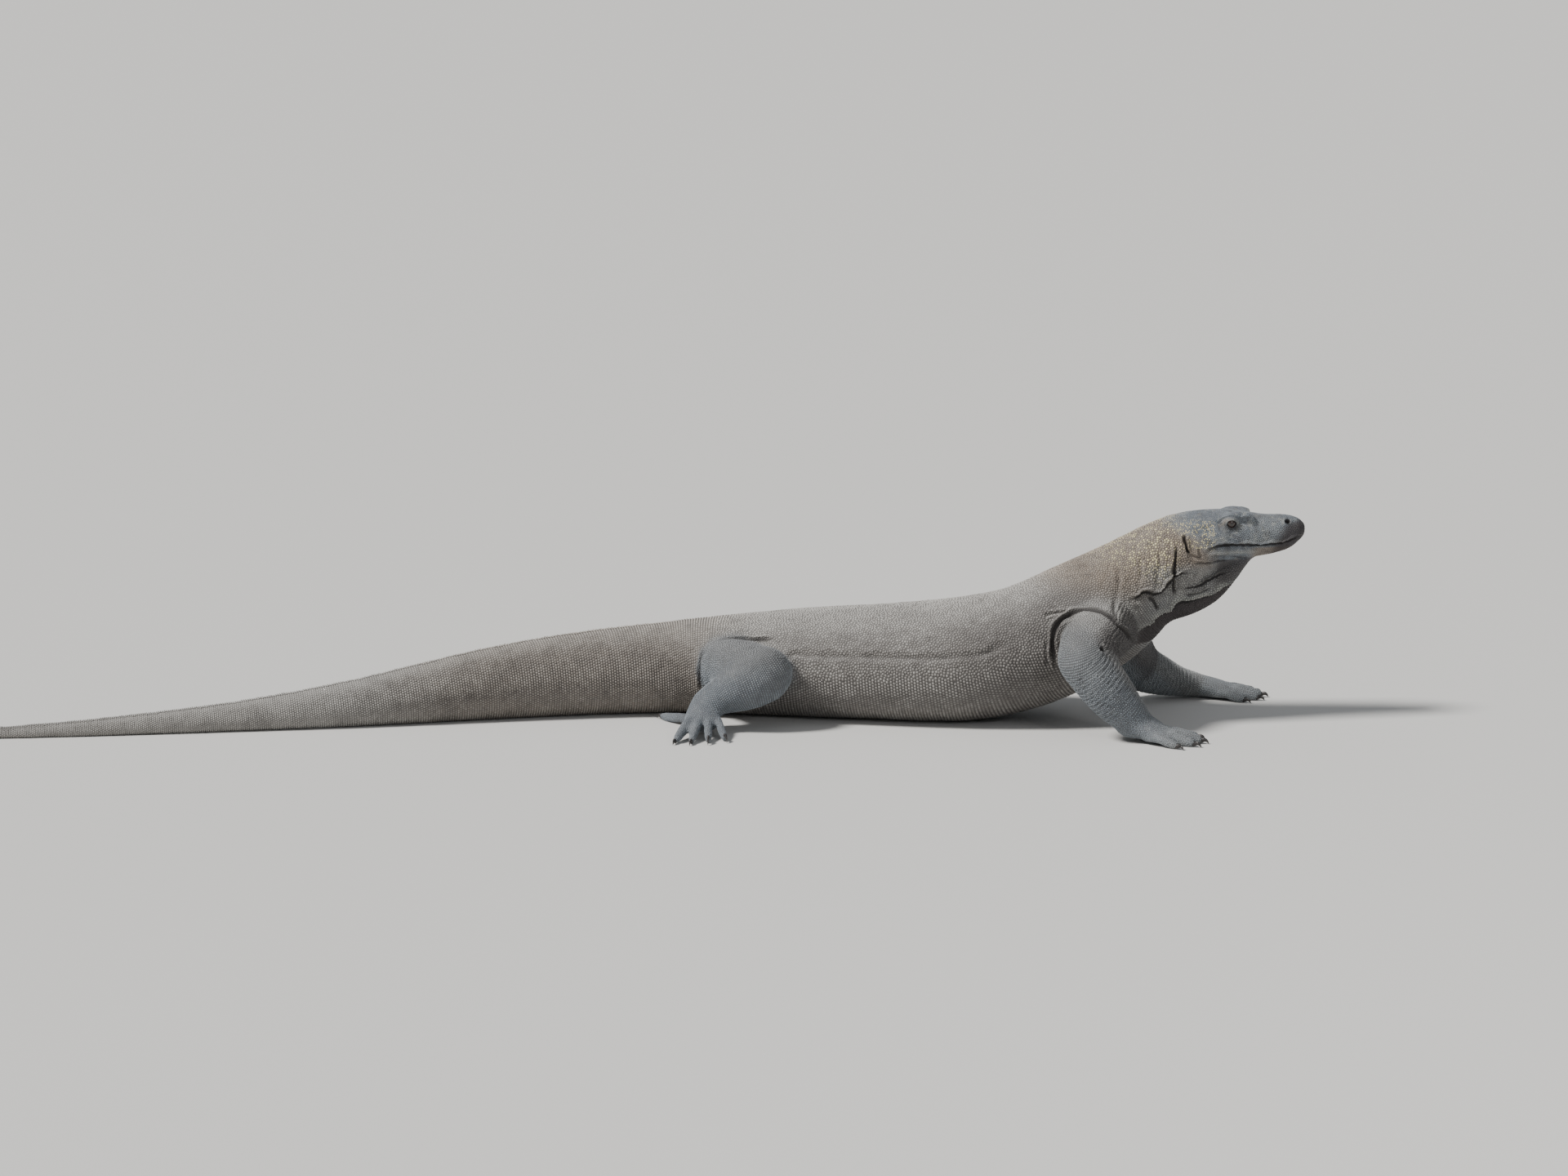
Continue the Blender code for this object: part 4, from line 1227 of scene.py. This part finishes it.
def claw_curve(node, paw):
    """The line that a claw follows, from inside the digit to its point."""
    cloud = points_of(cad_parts[node].data)
    heart = np.array(sum(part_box(paw), Vector()) / 2)
    farthest = cloud[np.argmax(np.linalg.norm(cloud - heart, axis=1))]
    reach = np.linalg.norm(cloud - farthest, axis=1)
    root = cloud[reach > CLAW_ENDS[0] * reach.max()].mean(0)
    tip = cloud[reach < CLAW_ENDS[1] * reach.max()].mean(0)
    tip += (tip - root) * CLAW_LONGER
    tip[2] = CLAW_TIP_HEIGHT
    bend = root + (tip - root) * CLAW_REACH
    bend[2] = root[2] + CLAW_ARCH
    start = (bend - root) / np.linalg.norm(bend - root)
    line = [root - start * CLAW_LET_IN]
    for t in np.linspace(0, 1, CLAW_RINGS):
        line.append((1 - t) ** 2 * root + 2 * t * (1 - t) * bend + t * t * tip)
    return [Vector(p) for p in line]


def grown_cap(target, face):
    """Extrudes a cap by one ring and gives back the new cap."""
    grown = bmesh.ops.extrude_face_region(target, geom=[face])["geom"]
    return next(part for part in grown if isinstance(part, bmesh.types.BMFace))


def claw(target, node, paw):
    """Adds one claw to a paw's set, ring by ring from the root."""
    line = claw_curve(node, paw)
    made = bmesh.ops.create_circle(target, cap_ends=True, segments=CLAW_SIDES, radius=CLAW_RADIUS)
    face = made["verts"][0].link_faces[0]
    flat_side = (line[-1] - line[0]).cross(UP).normalized()
    for number, place in enumerate(line):
        t = number / (len(line) - 1)
        along = (line[min(number + 1, len(line) - 1)] - line[max(number - 1, 0)]).normalized()
        top = flat_side.cross(along).normalized()
        wide = CLAW_RADIUS * (CLAW_TIP + (1 - CLAW_TIP) * (1 - t ** CLAW_SLIMS[0]) ** CLAW_SLIMS[1])
        if number:
            face = grown_cap(target, face)
        for i, v in enumerate(face.verts):
            turn = 2 * math.pi * i / CLAW_SIDES
            v.co = place + flat_side * math.cos(turn) * wide * CLAW_WIDTH + top * math.sin(turn) * wide


horn, shader, start, place = new_paint("horn")
stripes = place.grain(420.0, 4.0)
colour = start.blend(linear(28, 26, 27), linear(74, 70, 68), stripes.step(0.35, 0.75))
ridges = stripes.relief(0.15, 0.0004)
start.feed(shader, {"Base Color": colour, "Roughness": 0.30 + stripes * 0.25, "Normal": ridges})
for paw in [kind_of_paw + "_" + side for kind_of_paw in ("hand", "foot") for side in side_of]:
    claw_set = bmesh.new()
    nodes = [name for name in sorted(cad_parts) if name.startswith(paw + "_claw")]
    for node in nodes:
        claw(claw_set, node, paw)
    bmesh.ops.recalc_face_normals(claw_set, faces=claw_set.faces)
    for v in claw_set.verts:
        v.co.z = max(v.co.z, CLAWS_OFF_FLOOR)
    claws = new_piece(paw + "_claws", cast(paw + "_claws", claw_set))
    claws.data.shade_smooth()
    claws.data.materials.append(horn)
    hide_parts(*nodes)
    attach(claws, "root")

# The floor: a plain, matt, pale grey board that the model stands on, as wide as can be seen.
FLOOR_REACH = 90
floor = bmesh.new()
bmesh.ops.create_grid(floor, x_segments=1, y_segments=1, size=FLOOR_REACH)
board = new_piece("floor", cast("floor", floor))
board_paint, shader, start, _ = new_paint("floor_paint")
start.feed(shader, {"Base Color": (0.62, 0.61, 0.59, 1), "Roughness": 0.9})
board.data.materials.append(board_paint)

# The light: a broad lamp high up before the animal's right side, a faint wide one from its front, and pale
# walls all round that shed a little light of their own.
AIM = Vector((-0.178, 0, 0.1965))
KEY_FROM = Vector((-0.80, -0.42, 1.0))
FILL_FROM = Vector((2.2, -3.2, 2.1))
LAMPS = (
    ("key", "SUN", Vector(), KEY_FROM,
     {"energy": 4.9, "angle": math.radians(12), "color": (1.0, 0.985, 0.96)}),
    ("fill", "AREA", FILL_FROM, FILL_FROM - AIM,
     {"shape": "DISK", "size": 1.0, "energy": 18, "color": (0.96, 0.98, 1.0)}),
)
for name, kind_of_lamp, place, way, settings in LAMPS:
    light = bpy.data.lights.new(name, kind_of_lamp)
    for key, value in settings.items():
        setattr(light, key, value)
    lamp = new_piece(name, light)
    lamp.location = place
    lamp.rotation_euler = way.to_track_quat("Z", "Y").to_euler()
world = bpy.data.worlds.new("room")
world.use_nodes = True
start = Paint(world.node_tree)
glow = world.node_tree.nodes["Background"]
start.feed(glow, {"Color": (0.88, 0.92, 0.97, 1), "Strength": 0.34})
wall = start.node("Background", {}, {"Color": (0.86, 0.85, 0.83, 1)})
seen = start.node("LightPath", {}, {})
either = start.node("MixShader", {}, {0: seen, 1: Paint(world.node_tree, glow.outputs[0]), 2: wall})
start.feed(world.node_tree.nodes["World Output"], {"Surface": either})
bpy.context.scene.world = world

# The camera, at a standing person's height a few steps from the animal's right side.
# It looks a little down and from slightly ahead, through a long lens.
TURN = math.radians(8)
TILT = math.radians(10.1)
DISTANCE = 6.0
LENS = 87.75
SENSOR = 36
view = bpy.data.cameras.new("camera")
view.lens = LENS
view.sensor_width = SENSOR
camera = new_piece("camera", view)
back = Vector((math.sin(TURN) * math.cos(TILT), -math.cos(TURN) * math.cos(TILT), math.sin(TILT)))
camera.location = AIM + back * DISTANCE
camera.rotation_euler = (math.pi / 2 - TILT, 0, TURN)
bpy.context.scene.camera = camera
